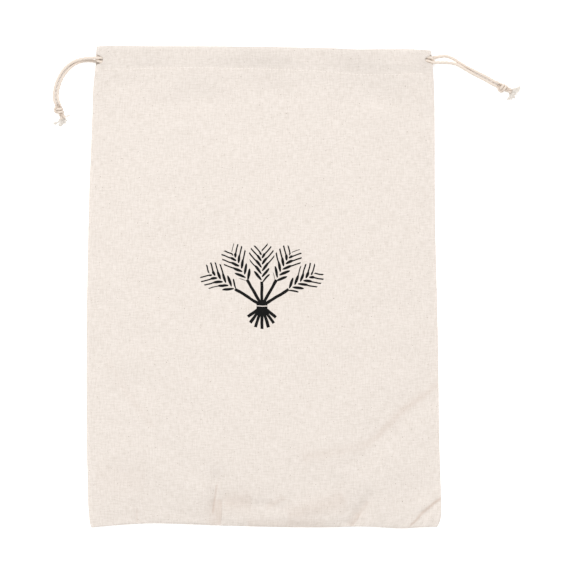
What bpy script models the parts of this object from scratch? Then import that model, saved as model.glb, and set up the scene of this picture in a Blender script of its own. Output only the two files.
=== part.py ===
"""Linen bread bag with two cotton drawstrings, lying empty on its back.

Blender 4.5 script, metres, +Z up. +X is across the bag, +Y runs from its bottom seam to its
mouth, and the origin is on the surface it lies on, under the middle of the bag.
The tables and named sizes below are in millimetres.
"""
import math
from collections import namedtuple

import bmesh
import bpy
import numpy as np
from mathutils import Matrix, Vector

MM = 0.001

# ---- Cloth ----
CLOTH = 1.0              # thickness of one layer of cloth
PIECE_GAP = 0.3          # between pieces that touch
MOUTH_GAP = 0.5          # between the two hems at the side seams
BODY_CROWN = 9.6         # rise of the front over the back in the middle of the bag
MOUTH_CROWN = 7.5        # the same at the mouth
BOTTOM_RISE = 110.0      # distance from the bottom seam over which the crown grows
HEM_EASE = 34.0          # distance below the cords over which the front comes down on the back
SEAM_HEIGHT = CLOTH * 1.5 + PIECE_GAP   # middle of the front's cloth where it lies on the back's
SEAM_BLEND = 7.0         # distance below the hem over which the side seam closes

# ---- Drawstrings and casing ----
CORD = 2.4               # cord diameter
CASING_GAP = CORD + 2 * PIECE_GAP
LANE_STEP = 4.6          # between the two cords in one casing
FIRST_LANE_LEFT = 8.8    # first cord below the mouth edge, at the left seam
FIRST_LANE_RIGHT = 7.2   # the same at the right seam
LANE_MARGIN = 0.9        # level stretch of a casing past the middle of its second cord
NOSE = 3.6               # depth of the rounded fold at the mouth edge

# ---- Outline of the bag as it lies ----
SideRow = namedtuple("SideRow", "y left right")
SIDES = [
    SideRow(-200.0, -143.2, 143.4),
    SideRow(-195.5, -144.4, 145.9),
    SideRow(-190.0, -145.0, 147.2),
    SideRow(-178.0, -145.9, 147.3),
    SideRow(-160.0, -146.3, 146.8),
    SideRow(-135.0, -146.8, 146.0),
    SideRow(-94.0, -147.2, 145.3),
    SideRow(-52.0, -147.2, 144.8),
    SideRow(-11.0, -146.8, 143.9),
    SideRow(31.0, -146.0, 142.8),
    SideRow(72.0, -145.1, 142.2),
    SideRow(114.0, -143.5, 142.0),
    SideRow(139.0, -142.5, 141.9),
    SideRow(164.0, -141.7, 141.5),
    SideRow(182.0, -139.9, 140.3),
    SideRow(193.0, -139.4, 139.4),
    SideRow(200.0, -138.6, 137.6),
]
EndRow = namedtuple("EndRow", "x bottom top hem")
ENDS = [
    EndRow(-145.0, -199.8, 199.8, 20.0),
    EndRow(-132.0, -198.6, 200.4, 20.0),
    EndRow(-111.0, -197.0, 200.1, 19.5),
    EndRow(-94.0, -196.2, 200.0, 18.6),
    EndRow(-70.0, -196.7, 200.0, 18.3),
    EndRow(-36.0, -198.0, 199.9, 18.6),
    EndRow(0.0, -199.0, 199.5, 19.0),
    EndRow(30.0, -199.5, 199.0, 19.5),
    EndRow(58.0, -199.4, 198.4, 20.3),
    EndRow(80.0, -198.8, 197.4, 21.3),
    EndRow(97.0, -199.5, 197.5, 21.8),
    EndRow(115.0, -200.4, 197.6, 21.6),
    EndRow(131.0, -199.5, 197.4, 20.4),
    EndRow(145.0, -199.2, 196.4, 19.4),
]
# How far the end of a casing's layer is cut back from the side seam, where the middle of that
# opening lies below the mouth edge, and its half height.
Notch = namedtuple("Notch", "size depth reach")
OUTER_NOTCHES = (Notch(6.0, 11.2, 5.2), Notch(5.6, 8.3, 4.4))
INNER_NOTCHES = (Notch(6.0, 11.1, 6.6), Notch(4.0, 9.5, 6.6))
NOTCH_ROUNDNESS = 2.4    # how blunt its inner end is
NOTCH_FADE = 0.125       # share of the width over which it fades out

# ---- Folds of the front: soft lines, a dip where the depth is positive ----
Fold = namedtuple("Fold", "name x0 y0 x1 y1 width depth")
FOLDS = [
    Fold("corner_crease", 147.0, -174.0, 121.0, -199.0, 7.0, 1.6),
    Fold("corner_puff", 146.0, -189.0, 134.0, -198.0, 7.0, -0.8),
    Fold("seam_pleat", -39.0, -160.0, -43.0, -199.0, 6.5, 2.2),
    Fold("pleat_ridge", -56.0, -168.0, -60.0, -197.0, 9.0, -1.2),
    Fold("pleat_hollow", -33.0, -174.0, 4.0, -179.0, 9.0, 1.5),
    Fold("seam_dent", -107.0, -183.0, -105.0, -198.0, 7.0, 1.0),
    Fold("seam_trough", 87.0, -176.0, 74.0, -199.0, 8.0, 1.4),
    Fold("seam_swell", 20.0, -190.0, 56.0, -184.0, 12.0, -1.0),
    Fold("long_fold_top", 139.0, -80.0, 92.0, -122.0, 14.0, 1.5),
    Fold("long_fold_foot", 92.0, -122.0, 64.0, -158.0, 15.0, 1.3),
    Fold("side_swell", -112.0, 60.0, -118.0, -60.0, 22.0, -1.0),
    Fold("hem_draw", -96.0, 174.0, -128.0, 168.0, 10.0, 1.0),
]

# ---- Drawstrings at the side seams: where one turns back round the ends of the hems ----
# The shifts move it down from its lane in the front casing and in the back one, and the last two
# columns do the same for the two strands of the other cord, which leave there.
Turn = namedtuple("Turn", "x front_shift back_shift front_out back_out")
TURN_LEFT = Turn(-134.4, 0.3, -0.8, 1.2, -0.35)
TURN_RIGHT = Turn(136.4, -1.2, 0.8, -2.6, 0.35)
TURN_STEPS = 8
WAY_OUT_INSET = 1.5      # how far inside a turn the other cord's strands draw together
CASING_STATIONS = [-122.0, -100.0, -70.0, -35.0, 0.0, 35.0, 70.0, 100.0, 122.0]

# ---- Free ends of the drawstrings: the middle of each pair of strands ----
PairRow = namedtuple("PairRow", "x y half_gap upper_z lower_z")
LEFT_PAIR = [
    PairRow(-139.6, 188.6, 1.75, 9.3, 2.45),
    PairRow(-146.0, 188.9, 1.20, 7.0, 2.10),
    PairRow(-152.0, 188.0, 1.20, 5.0, 1.60),
    PairRow(-157.6, 185.8, 1.25, 3.1, 1.35),
    PairRow(-162.6, 182.0, 1.35, 1.8, 1.35),
    PairRow(-166.8, 177.0, 1.38, 1.35, 1.35),
    PairRow(-169.9, 171.2, 1.40, 1.35, 1.35),
    PairRow(-171.9, 164.9, 1.40, 1.35, 1.35),
    PairRow(-172.7, 159.4, 1.40, 1.35, 1.35),
    PairRow(-172.4, 155.6, 1.40, 1.45, 1.45),
    PairRow(-171.2, 152.4, 1.40, 1.60, 1.60),
]
RIGHT_PAIR = [
    PairRow(140.2, 188.3, 1.90, 2.45, 8.6),
    PairRow(146.0, 188.8, 2.50, 2.00, 7.2),
    PairRow(151.0, 188.9, 2.70, 1.60, 5.6),
    PairRow(156.5, 187.7, 1.95, 1.40, 4.2),
    PairRow(161.8, 185.3, 1.15, 1.35, 3.7),
    PairRow(167.2, 182.1, 1.10, 1.35, 3.2),
    PairRow(172.8, 179.0, 1.30, 1.35, 2.2),
    PairRow(178.6, 176.0, 1.40, 1.35, 1.35),
    PairRow(184.6, 173.0, 1.40, 1.35, 1.35),
    PairRow(189.8, 170.0, 1.40, 1.45, 1.45),
    PairRow(193.4, 168.3, 1.40, 1.60, 1.60),
]

# ---- Knots, along their own +X, with +Y to their left and 0 on the surface ----
KNOT_STUB = 1.5          # length of each strand that is part of the knot
KNOT_STRAND = [(-KNOT_STUB, 1.40, 1.6), (0.6, 1.30, 1.9), (3.2, 0.8, 2.75), (11.4, 0.5, 1.9)]
KNOT_CORE = [(1.0, 0.0, 2.75), (10.2, 0.0, 2.2)]
KNOT_BIGHT = [(0.6, -1.6, 2.2), (2.0, -3.0, 1.9), (3.6, -3.5, 1.6)]
CORE_RADIUS = 1.7        # of the strands in the middle of a knot
WRAP_RADIUS = 1.2        # of the cord wrapped round them
WRAP_RING = 1.75         # radius of the wrap's helix
WRAP_HEIGHT = 2.75       # of the helix's axis over the surface
WRAP_SQUASH = 0.86       # how much flatter than round the helix lies
WRAP_START = 1.5
WRAP_LENGTH = 6.2
WRAP_TURNS = 1.7
WRAP_LEAD = 0.15         # how far before level the wrap begins, in turns
WRAP_STEPS = 18
KNOT_GRAIN = 0.7         # voxel size that fuses the turns

# ---- Frayed ends of a knot: heading from its axis in degrees, and length ----
Strand = namedtuple("Strand", "angle reach")
LEFT_TUFT = [Strand(-72, 9.2), Strand(-60, 8.8), Strand(-48, 8.6), Strand(-36, 8.8), Strand(-24, 8.0),
             Strand(-11, 7.4), Strand(2, 6.8), Strand(22, 5.6), Strand(80, 5.6)]
RIGHT_TUFT = [Strand(-68, 7.2), Strand(-53, 7.2), Strand(-39, 6.8), Strand(-25, 6.8), Strand(-11, 7.0),
              Strand(2, 7.2), Strand(14, 7.8), Strand(26, 8.4), Strand(38, 7.6)]
TUFT_START = 9.8
TUFT_SPREAD = 0.9        # how far apart the strands leave the knot
STRAND_RADIUS = 0.34
STRAND_REST = 0.4        # height of a strand that lies on the surface
STRAND_SWING = 0.45      # share of its heading that a strand takes up along its length
StrandRow = namedtuple("StrandRow", "share z width")
STRAND_ROWS = [
    StrandRow(0.0, 1.5, 1.3),
    StrandRow(0.2, 1.25, 1.25),
    StrandRow(0.4, 0.75, 1.15),
    StrandRow(0.6, STRAND_REST, 1.0),
    StrandRow(0.8, STRAND_REST, 0.9),
    StrandRow(1.0, STRAND_REST, 0.7),
]

# ---- Mesh density ----
COLUMNS = 30
SIDE_CROWDING = 0.4      # 0 spaces the columns evenly, 1 crowds them at the side seams
FOOT_CROWDING = 0.38     # 0 spaces the body's rows evenly, 1 crowds them at the bottom seam
BODY_ROWS_FRONT = 25
BODY_ROWS_BACK = 7
RAMP_ROWS = 3            # rows between a hem's stitch line and its cords
LEVEL_ROWS = 4           # rows over the cords
HEM_ROWS = RAMP_ROWS + LEVEL_ROWS
NOSE_ROWS = 6
CORD_BEND = 15.0         # most that a cord turns between two points, in degrees
CORD_STEP = 17.0         # most that lies between two points


def smooth_table(rows, key, value):
    """A smooth function of one column of a table, read at another column."""
    keys = np.array([getattr(row, key) for row in rows], float)
    values = np.array([getattr(row, value) for row in rows], float)
    slopes = np.gradient(values, keys)

    def read(at):
        at = min(max(at, keys[0]), keys[-1])
        i = min(max(int(np.searchsorted(keys, at)) - 1, 0), len(keys) - 2)
        span = keys[i + 1] - keys[i]
        t = (at - keys[i]) / span
        return float((2 * t**3 - 3 * t**2 + 1) * values[i] + (t**3 - 2 * t**2 + t) * span * slopes[i]
                     + (3 * t**2 - 2 * t**3) * values[i + 1] + (t**3 - t**2) * span * slopes[i + 1])
    return read


left_edge = smooth_table(SIDES, "y", "left")
right_edge = smooth_table(SIDES, "y", "right")
bottom_edge = smooth_table(ENDS, "x", "bottom")
top_edge = smooth_table(ENDS, "x", "top")
hem_depth = smooth_table(ENDS, "x", "hem")


def clamp(value, low=0.0, high=1.0):
    return min(max(value, low), high)


def smoothstep(t):
    t = clamp(t)
    return t * t * (3.0 - 2.0 * t)


def across(x, y):
    """0 at the left seam and 1 at the right one."""
    return clamp((x - left_edge(y)) / (right_edge(y) - left_edge(y)))


def first_lane(x):
    """How far below the mouth edge the first cord of a casing lies."""
    share = clamp((x - ENDS[0].x) / (ENDS[-1].x - ENDS[0].x))
    return FIRST_LANE_LEFT + (FIRST_LANE_RIGHT - FIRST_LANE_LEFT) * share


def crown(x, y):
    """Flat in the middle of the bag and 0 at its side seams."""
    return 1.0 - abs(2.0 * across(x, y) - 1.0) ** 3


def level_depth(x):
    """Depth below the mouth edge down to which a casing has its full height."""
    return first_lane(x) + LANE_STEP + LANE_MARGIN


def casing_gap(x, depth):
    """Height inside a casing, at a depth below the mouth edge."""
    rise = clamp((hem_depth(x) - depth) / (hem_depth(x) - level_depth(x)))
    return PIECE_GAP + (CASING_GAP - PIECE_GAP) * (0.7 * rise + 0.3 * smoothstep(rise))


def mouth_gap(x, y):
    """Height of the opening between the two hems."""
    return MOUTH_GAP + MOUTH_CROWN * crown(x, y)


def fold_dip(x, y):
    """How far the folds take the front down at a point."""
    dip = 0.0
    for fold in FOLDS:
        run = Vector((fold.x1 - fold.x0, fold.y1 - fold.y0))
        reach = Vector((x - fold.x0, y - fold.y0))
        t = clamp(reach.dot(run) / run.length_squared)
        distance = (reach - t * run).length
        dip += fold.depth * math.exp(-(distance / fold.width) ** 2)
    return dip


def hollow_height(x, y):
    """Height inside the bag, between its front and its back."""
    depth = top_edge(x) - y
    below_hem = clamp((depth - hem_depth(x)) / HEM_EASE)
    from_bottom = clamp((y - bottom_edge(x)) / BOTTOM_RISE)
    rise = 1.0 - (1.0 - from_bottom) ** 3
    body = BODY_CROWN * crown(x, y) * rise
    at_hem = CLOTH * 2 + PIECE_GAP + mouth_gap(x, y)
    height = body + (at_hem - body) * (1.0 - smoothstep(below_hem))
    dip = fold_dip(x, y) * smoothstep(below_hem * 2.0)
    return PIECE_GAP + height - min(dip, 0.7 * height)


def hem_row_depth(x, row):
    """Depth of a row of the hem, counted up from its stitch line."""
    if row <= RAMP_ROWS:
        return hem_depth(x) + (level_depth(x) - hem_depth(x)) * row / RAMP_ROWS
    return level_depth(x) + (NOSE - level_depth(x)) * (row - RAMP_ROWS) / LEVEL_ROWS


def row_share(t):
    """Rows of the body, closer together at the bottom seam than at the hem."""
    return (1.0 - FOOT_CROWDING) * t + FOOT_CROWDING * t * t


def column_share(t):
    """Columns across the bag, closer together at the side seams."""
    return (1.0 - SIDE_CROWDING) * t + SIDE_CROWDING * (0.5 - 0.5 * math.cos(math.pi * t))


class Panel:
    """The heights of one panel's two layers, and the rows that its sheet has."""

    def __init__(self, is_front):
        self.is_front = is_front
        self.body_rows = BODY_ROWS_FRONT if is_front else BODY_ROWS_BACK

    def outer_height(self, x, y, depth):
        """Middle of the outer layer, over the surface the bag lies on."""
        if not self.is_front:
            return CLOTH / 2
        over_cords = CLOTH * 3.5 + 2 * CASING_GAP + mouth_gap(x, y)
        body = CLOTH * 1.5 + hollow_height(x, y)
        return over_cords + (body - over_cords) * smoothstep((depth - level_depth(x)) / HEM_EASE)

    def inner_height(self, x, y, depth):
        """Middle of the hem's turned-in layer."""
        if not self.is_front:
            return CLOTH * 1.5 + casing_gap(x, depth)
        return self.outer_height(x, y, depth) - CLOTH - casing_gap(x, depth)

    def seam_height(self, height, x, depth, share):
        """The same, but down on the other panel where a side seam is sewn."""
        if not self.is_front or 0.0 < share < 1.0:
            return height
        return height + (SEAM_HEIGHT - height) * smoothstep((depth - hem_depth(x)) / SEAM_BLEND)

    def notch(self, is_outer, depth, x_share):
        """How far the casing's end is drawn in from the side seam, at each side."""
        if is_outer and not self.is_front:
            return 0.0
        notches = OUTER_NOTCHES if is_outer else INNER_NOTCHES
        notch = notches[0] if x_share < 0.5 else notches[1]
        off = clamp(abs(depth - notch.depth) / notch.reach)
        from_side = 0.5 - abs(x_share - 0.5)
        return notch.size * (1.0 - off**NOTCH_ROUNDNESS) * clamp(1.0 - from_side / NOTCH_FADE)

    def row_count(self):
        return self.body_rows + HEM_ROWS + NOSE_ROWS + HEM_ROWS

    def point(self, row, share):
        """The middle of the sheet at a row and a share of the way across, in millimetres."""
        x_about = SIDES[0].left + share * (SIDES[0].right - SIDES[0].left)
        hem = hem_depth(x_about)
        is_outer = row <= self.body_rows + HEM_ROWS + NOSE_ROWS / 2
        nose_lift = None
        if row < self.body_rows:
            foot = bottom_edge(x_about)
            length = top_edge(x_about) - hem - foot
            depth = hem + length * (1.0 - row_share(row / self.body_rows))
        elif row <= self.body_rows + HEM_ROWS:
            depth = hem_row_depth(x_about, row - self.body_rows)
        elif row < self.body_rows + HEM_ROWS + NOSE_ROWS:
            angle = math.pi * (0.5 - (row - self.body_rows - HEM_ROWS) / NOSE_ROWS)
            depth = NOSE - (NOSE - CLOTH / 2) * math.cos(angle)
            nose_lift = math.sin(angle)
        else:
            depth = hem_row_depth(x_about, self.row_count() - row)
        y = top_edge(x_about) - depth
        left, right = left_edge(y), right_edge(y)
        x = left + share * (right - left)
        x -= math.copysign(self.notch(is_outer, depth, share), share - 0.5)
        if nose_lift is not None:
            outer = self.outer_height(x, y, NOSE)
            inner = self.inner_height(x, y, NOSE)
            return x, y, (outer + inner) / 2 + nose_lift * (outer - inner) / 2
        if is_outer:
            return x, y, self.seam_height(self.outer_height(x, y, depth), x_about, depth, share)
        return x, y, self.inner_height(x, y, depth)


FRONT = Panel(is_front=True)
BACK = Panel(is_front=False)


def material(name, color, roughness):
    made = bpy.data.materials.new(name)
    made.use_nodes = True
    shader = made.node_tree.nodes["Principled BSDF"]
    shader.inputs["Base Color"].default_value = (*color, 1.0)
    shader.inputs["Roughness"].default_value = roughness
    shader.inputs["Metallic"].default_value = 0.0
    return made


def add_object(name, mesh, finish, collection):
    made = bpy.data.objects.new(name, mesh)
    collection.objects.link(made)
    if finish:
        mesh.materials.clear()
        mesh.materials.append(finish)
    return made


def shade_round(mesh, crease_degrees):
    mesh.shade_smooth()
    mesh.set_sharp_from_angle(angle=math.radians(crease_degrees))


def make_panel(name, panel, finish, collection):
    """One sheet: up the body, over the fold at the mouth and down the inside of the hem."""
    rows = panel.row_count()
    sheet = bmesh.new()
    bmesh.ops.create_grid(sheet, x_segments=COLUMNS, y_segments=rows, size=0.5)
    for vert in sheet.verts:
        share = column_share(vert.co.x + 0.5)
        row = round((vert.co.y + 0.5) * rows)
        vert.co = Vector(panel.point(row, share)) * MM
    mesh = bpy.data.meshes.new(name)
    sheet.to_mesh(mesh)
    sheet.free()
    made = add_object(name, mesh, finish, collection)
    shade_round(mesh, 60.0)
    thicken = made.modifiers.new("Cloth thickness", "SOLIDIFY")
    thicken.thickness = CLOTH * MM
    thicken.offset = 0.0
    thicken.use_even_offset = True
    return made


def smooth_route(points, steps=24):
    """A fine, smooth line through hand-chosen points (a Catmull-Rom curve)."""
    points = [Vector(p) for p in points]
    ends = [2 * points[0] - points[1]] + points + [2 * points[-1] - points[-2]]
    line = []
    for a, b, c, d in zip(ends, ends[1:], ends[2:], ends[3:]):
        length = (c - b).length
        lead = (c - a) * (length / ((b - a).length + length))
        trail = (d - b) * (length / ((d - c).length + length))
        for step in range(steps):
            t = step / steps
            line.append((2 * t**3 - 3 * t**2 + 1) * b + (t**3 - 2 * t**2 + t) * lead
                        + (3 * t**2 - 2 * t**3) * c + (t**3 - t**2) * trail)
    return line + [points[-1]]


def cord_points(line):
    """Few points of a fine line: close together where it bends, further apart where it runs straight."""
    kept = [line[0]]
    turned = gone = 0.0
    for before, here, after in zip(line, line[1:], line[2:]):
        turned += math.degrees((here - before).angle(after - here, 0.0))
        gone += (here - before).length
        if turned > CORD_BEND or gone > CORD_STEP:
            kept.append(here)
            turned = gone = 0.0
    return kept + [line[-1]]


def pair_strands(rows):
    """The two strands of a free pair: the one that leaves nearer the mouth edge, and the other."""
    side = math.copysign(1.0, rows[0].x)
    middles = [Vector((row.x, row.y, 0.0)) for row in rows]
    upper, lower = [], []
    for i, row in enumerate(rows):
        ahead = middles[min(i + 1, len(rows) - 1)] - middles[max(i - 1, 0)]
        ahead.normalize()
        aside = Vector((-ahead.y, ahead.x, 0.0)) * side * row.half_gap
        upper.append(middles[i] + aside + Vector((0.0, 0.0, row.upper_z)))
        lower.append(middles[i] - aside + Vector((0.0, 0.0, row.lower_z)))
    return upper, lower


def lane_point(x, lane, in_front, shift=0.0):
    """Middle of a cord in a casing: lane 0 is the one nearer the mouth edge."""
    depth = first_lane(x) + lane * LANE_STEP + shift
    y = top_edge(x) - depth
    panel = FRONT if in_front else BACK
    below = panel.inner_height(x, y, depth) if in_front else panel.outer_height(x, y, depth)
    return Vector((x, y, below + CLOTH / 2 + CASING_GAP / 2))


def turn_back(turn, front_lane):
    """Half a circle from the front casing to the back one, round the ends of the hems."""
    start = lane_point(turn.x, front_lane, True, turn.front_shift)
    end = lane_point(turn.x, 1 - front_lane, False, turn.back_shift)
    centre, arm = (start + end) / 2, (start - end) / 2
    out = Vector((math.copysign(arm.length, turn.x), 0.0, 0.0))
    angles = [math.pi * step / TURN_STEPS for step in range(TURN_STEPS + 1)]
    return [centre + math.cos(a) * arm + math.sin(a) * out for a in angles]


def drawstring_route(pair, front_lane, exits_left):
    """Knot to casing, along the front, round the far seam, back along the back and out to the knot."""
    upper, lower = pair_strands(pair)
    front_end, back_end = (upper, lower) if front_lane == 0 else (lower, upper)
    stations = CASING_STATIONS if exits_left else CASING_STATIONS[::-1]
    way_out, turn = (TURN_LEFT, TURN_RIGHT) if exits_left else (TURN_RIGHT, TURN_LEFT)
    route = list(reversed(front_end))
    back_lane = 1 - front_lane
    way_out_x = way_out.x - math.copysign(WAY_OUT_INSET, way_out.x)
    route += [lane_point(way_out_x, front_lane, True, way_out.front_out)]
    route += [lane_point(x, front_lane, True) for x in stations]
    route += turn_back(turn, front_lane)
    route += [lane_point(x, back_lane, False) for x in stations[::-1]]
    return route + [lane_point(way_out_x, back_lane, False, way_out.back_out)] + back_end


def curve_object(name, points, radius, collection, sides_setting=2, radii=None, unit=MM):
    """A tube through its points, with filled ends."""
    curve = bpy.data.curves.new(name, "CURVE")
    curve.dimensions = "3D"
    curve.bevel_depth = radius * unit
    curve.bevel_resolution = sides_setting
    curve.use_fill_caps = True
    spline = curve.splines.new("POLY")
    spline.points.add(len(points) - 1)
    for i, (slot, point) in enumerate(zip(spline.points, points)):
        slot.co = (*(Vector(point) * unit), 1.0)
        slot.radius = radii[i] if radii else 1.0
    made = bpy.data.objects.new(name, curve)
    collection.objects.link(made)
    return made


def make_drawstring(name, pair, front_lane, exits_left, finish, collection):
    line = smooth_route(drawstring_route(pair, front_lane, exits_left))
    made = curve_object(name, cord_points(line), CORD / 2, collection)
    made.data.materials.append(finish)
    return made


def tube_mesh(name, points, radius, sides_setting, radii=None):
    """A closed tube as a mesh in millimetres, its caps welded on."""
    curve = curve_object(name, points, radius, GUIDES, sides_setting, radii, unit=1.0)
    evaluated = curve.evaluated_get(bpy.context.evaluated_depsgraph_get())
    mesh = bpy.data.meshes.new_from_object(evaluated)
    weld = bmesh.new()
    weld.from_mesh(mesh)
    bmesh.ops.remove_doubles(weld, verts=weld.verts, dist=0.0001)
    weld.to_mesh(mesh)
    weld.free()
    bpy.data.objects.remove(curve)
    return mesh


def join_meshes(name, meshes):
    joined = bmesh.new()
    for mesh in meshes:
        joined.from_mesh(mesh)
    result = bpy.data.meshes.new(name)
    joined.to_mesh(result)
    joined.free()
    return result


def knot_turns():
    """The cord in a knot: two strands in, a turn round them, and a bight pushed out at its right."""
    parts = []
    for side in (-1, 1):
        strand = [(x, side * y, z) for x, y, z in KNOT_STRAND]
        parts.append(tube_mesh("strand", smooth_route(strand, 3), CORD / 2, 1))
    parts.append(tube_mesh("core", KNOT_CORE, CORE_RADIUS, 2))
    wrap = []
    for step in range(WRAP_STEPS + 1):
        t = step / WRAP_STEPS
        angle = -2 * math.pi * (WRAP_TURNS * t - WRAP_LEAD)
        tuck = math.sin(math.pi * (0.06 + 0.88 * t)) ** 0.35
        wrap.append((WRAP_START + WRAP_LENGTH * t, WRAP_RING * tuck * math.cos(angle),
                     WRAP_HEIGHT + WRAP_RING * tuck * WRAP_SQUASH * math.sin(angle)))
    parts.append(tube_mesh("wrap", wrap, WRAP_RADIUS, 2))
    parts.append(tube_mesh("bight", smooth_route(KNOT_BIGHT, 3), WRAP_RADIUS, 1))
    return parts


def frayed_strand(strand):
    """One strand of the tuft: out of the knot, down to the surface and along it."""
    heading = math.radians(strand.angle)
    points = []
    for row in STRAND_ROWS:
        swing = heading * (1.0 - STRAND_SWING * (1.0 - row.share))
        points.append((TUFT_START + strand.reach * row.share * math.cos(swing),
                       TUFT_SPREAD * math.sin(heading) + strand.reach * row.share * math.sin(swing), row.z))
    return points


def make_knot(name, rows, tuft, finish, collection):
    """A small overhand knot with a frayed tuft, fused into one solid, laid where its cord ends."""
    end = Vector((rows[-1].x, rows[-1].y, 0.0))
    heading = (end - Vector((rows[-2].x, rows[-2].y, 0.0))).normalized()
    turn = Matrix.Rotation(math.atan2(heading.y, heading.x), 4, "Z")
    shift = Matrix.Translation((end + heading * (KNOT_STUB + PIECE_GAP)) * MM)
    place = shift @ turn @ Matrix.Scale(MM, 4)

    turns = add_object("turns", join_meshes("turns", knot_turns()), None, GUIDES)
    remesh = turns.modifiers.new("Fuse the turns", "REMESH")
    remesh.mode = "VOXEL"
    remesh.voxel_size = KNOT_GRAIN
    evaluated = turns.evaluated_get(bpy.context.evaluated_depsgraph_get())
    body = bpy.data.meshes.new_from_object(evaluated)
    bpy.data.objects.remove(turns)

    made = add_object(name, body, finish, collection)
    made.matrix_world = place
    strands = new_collection(name + "_strands", GUIDES)
    for strand in tuft:
        widths = [row.width for row in STRAND_ROWS]
        tube = tube_mesh("frayed_strand", frayed_strand(strand), STRAND_RADIUS, 0, widths)
        tool = add_object("frayed_strand", tube, None, strands)
        tool.matrix_world = place
        tool.hide_render = True
        tool.display_type = "WIRE"
    join = made.modifiers.new("Tuft", "BOOLEAN")
    join.operation = "UNION"
    join.solver = "EXACT"
    join.operand_type = "COLLECTION"
    join.collection = strands
    return made


def new_collection(name, parent):
    made = bpy.data.collections.new(name)
    parent.children.link(made)
    return made


for old in list(bpy.data.objects):
    bpy.data.objects.remove(old, do_unlink=True)

PARTS = new_collection("linen_bread_bag", bpy.context.scene.collection)
GUIDES = new_collection("cutters", bpy.context.scene.collection)
LINEN = material("linen", (0.86, 0.81, 0.74), 0.9)
COTTON = material("cotton_cord", (0.80, 0.71, 0.60), 0.85)

make_panel("front_panel", FRONT, LINEN, PARTS)
make_panel("back_panel", BACK, LINEN, PARTS)
make_drawstring("drawstring_left", LEFT_PAIR, 0, True, COTTON, PARTS)
make_drawstring("drawstring_right", RIGHT_PAIR, 1, False, COTTON, PARTS)
make_knot("knot_left", LEFT_PAIR, LEFT_TUFT, COTTON, PARTS)
make_knot("knot_right", RIGHT_PAIR, RIGHT_TUFT, COTTON, PARTS)
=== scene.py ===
"""Linen bread bag with two cotton drawstrings, lying empty on its back: how it looks.

Blender 4.5 script. Tables and sizes are in millimetres, in the part's own frame: +X across the bag,
+Y from its bottom seam to its mouth, +Z up, and the origin on the surface under its middle.
"""
import math
from collections import namedtuple
from functools import partialmethod

import bpy
import numpy as np
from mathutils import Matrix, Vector


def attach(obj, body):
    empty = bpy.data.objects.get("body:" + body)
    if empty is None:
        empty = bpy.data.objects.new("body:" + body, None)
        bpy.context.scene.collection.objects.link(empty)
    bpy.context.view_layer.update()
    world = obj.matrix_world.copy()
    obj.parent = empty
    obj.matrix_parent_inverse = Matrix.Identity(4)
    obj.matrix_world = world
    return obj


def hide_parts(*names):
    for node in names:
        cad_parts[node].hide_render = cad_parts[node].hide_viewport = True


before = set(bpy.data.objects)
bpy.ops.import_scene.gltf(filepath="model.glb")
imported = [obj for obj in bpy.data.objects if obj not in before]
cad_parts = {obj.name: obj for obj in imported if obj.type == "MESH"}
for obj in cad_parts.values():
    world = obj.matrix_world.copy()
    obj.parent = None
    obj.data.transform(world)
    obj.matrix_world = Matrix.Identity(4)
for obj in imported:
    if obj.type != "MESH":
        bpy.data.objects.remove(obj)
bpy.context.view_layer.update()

MM = 0.001

# ---- Sizes of the part, as its solids have them ----
CLOTH = 1.0              # one layer
PIECE_GAP = 0.3
MOUTH_GAP = 0.5
BODY_CROWN = 9.6
MOUTH_CROWN = 7.5
BOTTOM_RISE = 110.0
HEM_EASE = 34.0
CORD = 2.4
CASING_GAP = CORD + 2 * PIECE_GAP
CASING_ROUND = 0.3       # how round a casing's slope is, from 0 for straight to 1
DEEPEST_DIP = 0.7        # of a fold, as a share of the bag's height there
LANE_STEP = 4.6
FIRST_LANE_LEFT = 8.8
FIRST_LANE_RIGHT = 7.2
LANE_MARGIN = 0.9
NOSE = 3.6               # depth below the mouth edge at which the cloth starts to bend over
Turn = namedtuple("Turn", "x front_shift back_shift front_out back_out")
TURN_LEFT = Turn(-134.4, 0.15, -0.8, 1.35, -0.35)
TURN_RIGHT = Turn(136.4, -0.9, 0.8, -2.6, 0.35)
TURN_STEPS = 8
WAY_OUT_INSET = 1.5      # how far inside a turn the other cord's strands draw together

SideRow = namedtuple("SideRow", "y left right")
SIDES = [SideRow(*row) for row in (
    (-200, -143.2, 143.4),
    (-195.5, -144.4, 145.9),
    (-190, -145, 147.2),
    (-178, -145.9, 147.3),
    (-160, -146.3, 146.8),
    (-135, -146.8, 146),
    (-94, -147.2, 145.3),
    (-52, -147.2, 144.8),
    (-11, -146.8, 143.9),
    (31, -146, 142.8),
    (72, -145.1, 142.2),
    (114, -143.5, 142),
    (139, -142.5, 141.9),
    (164, -141.7, 141.5),
    (182, -139.9, 140.3),
    (193, -139.4, 139.4),
    (200, -138.6, 137.6),
)]
EndRow = namedtuple("EndRow", "x bottom top hem")
ENDS = [EndRow(*row) for row in (
    (-145, -199.8, 199.8, 20),
    (-132, -198.6, 200.4, 20),
    (-111, -197, 200.1, 19.5),
    (-94, -196.2, 200, 18.6),
    (-70, -196.7, 200, 18.3),
    (-36, -198, 199.9, 18.6),
    (0, -199, 199.5, 19),
    (30, -199.5, 199, 19.5),
    (58, -199.4, 198.4, 20.3),
    (80, -198.8, 197.4, 21.3),
    (97, -199.5, 197.5, 21.8),
    (115, -200.4, 197.6, 21.6),
    (131, -199.5, 197.4, 20.4),
    (145, -199.2, 196.4, 19.4),
)]
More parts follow.
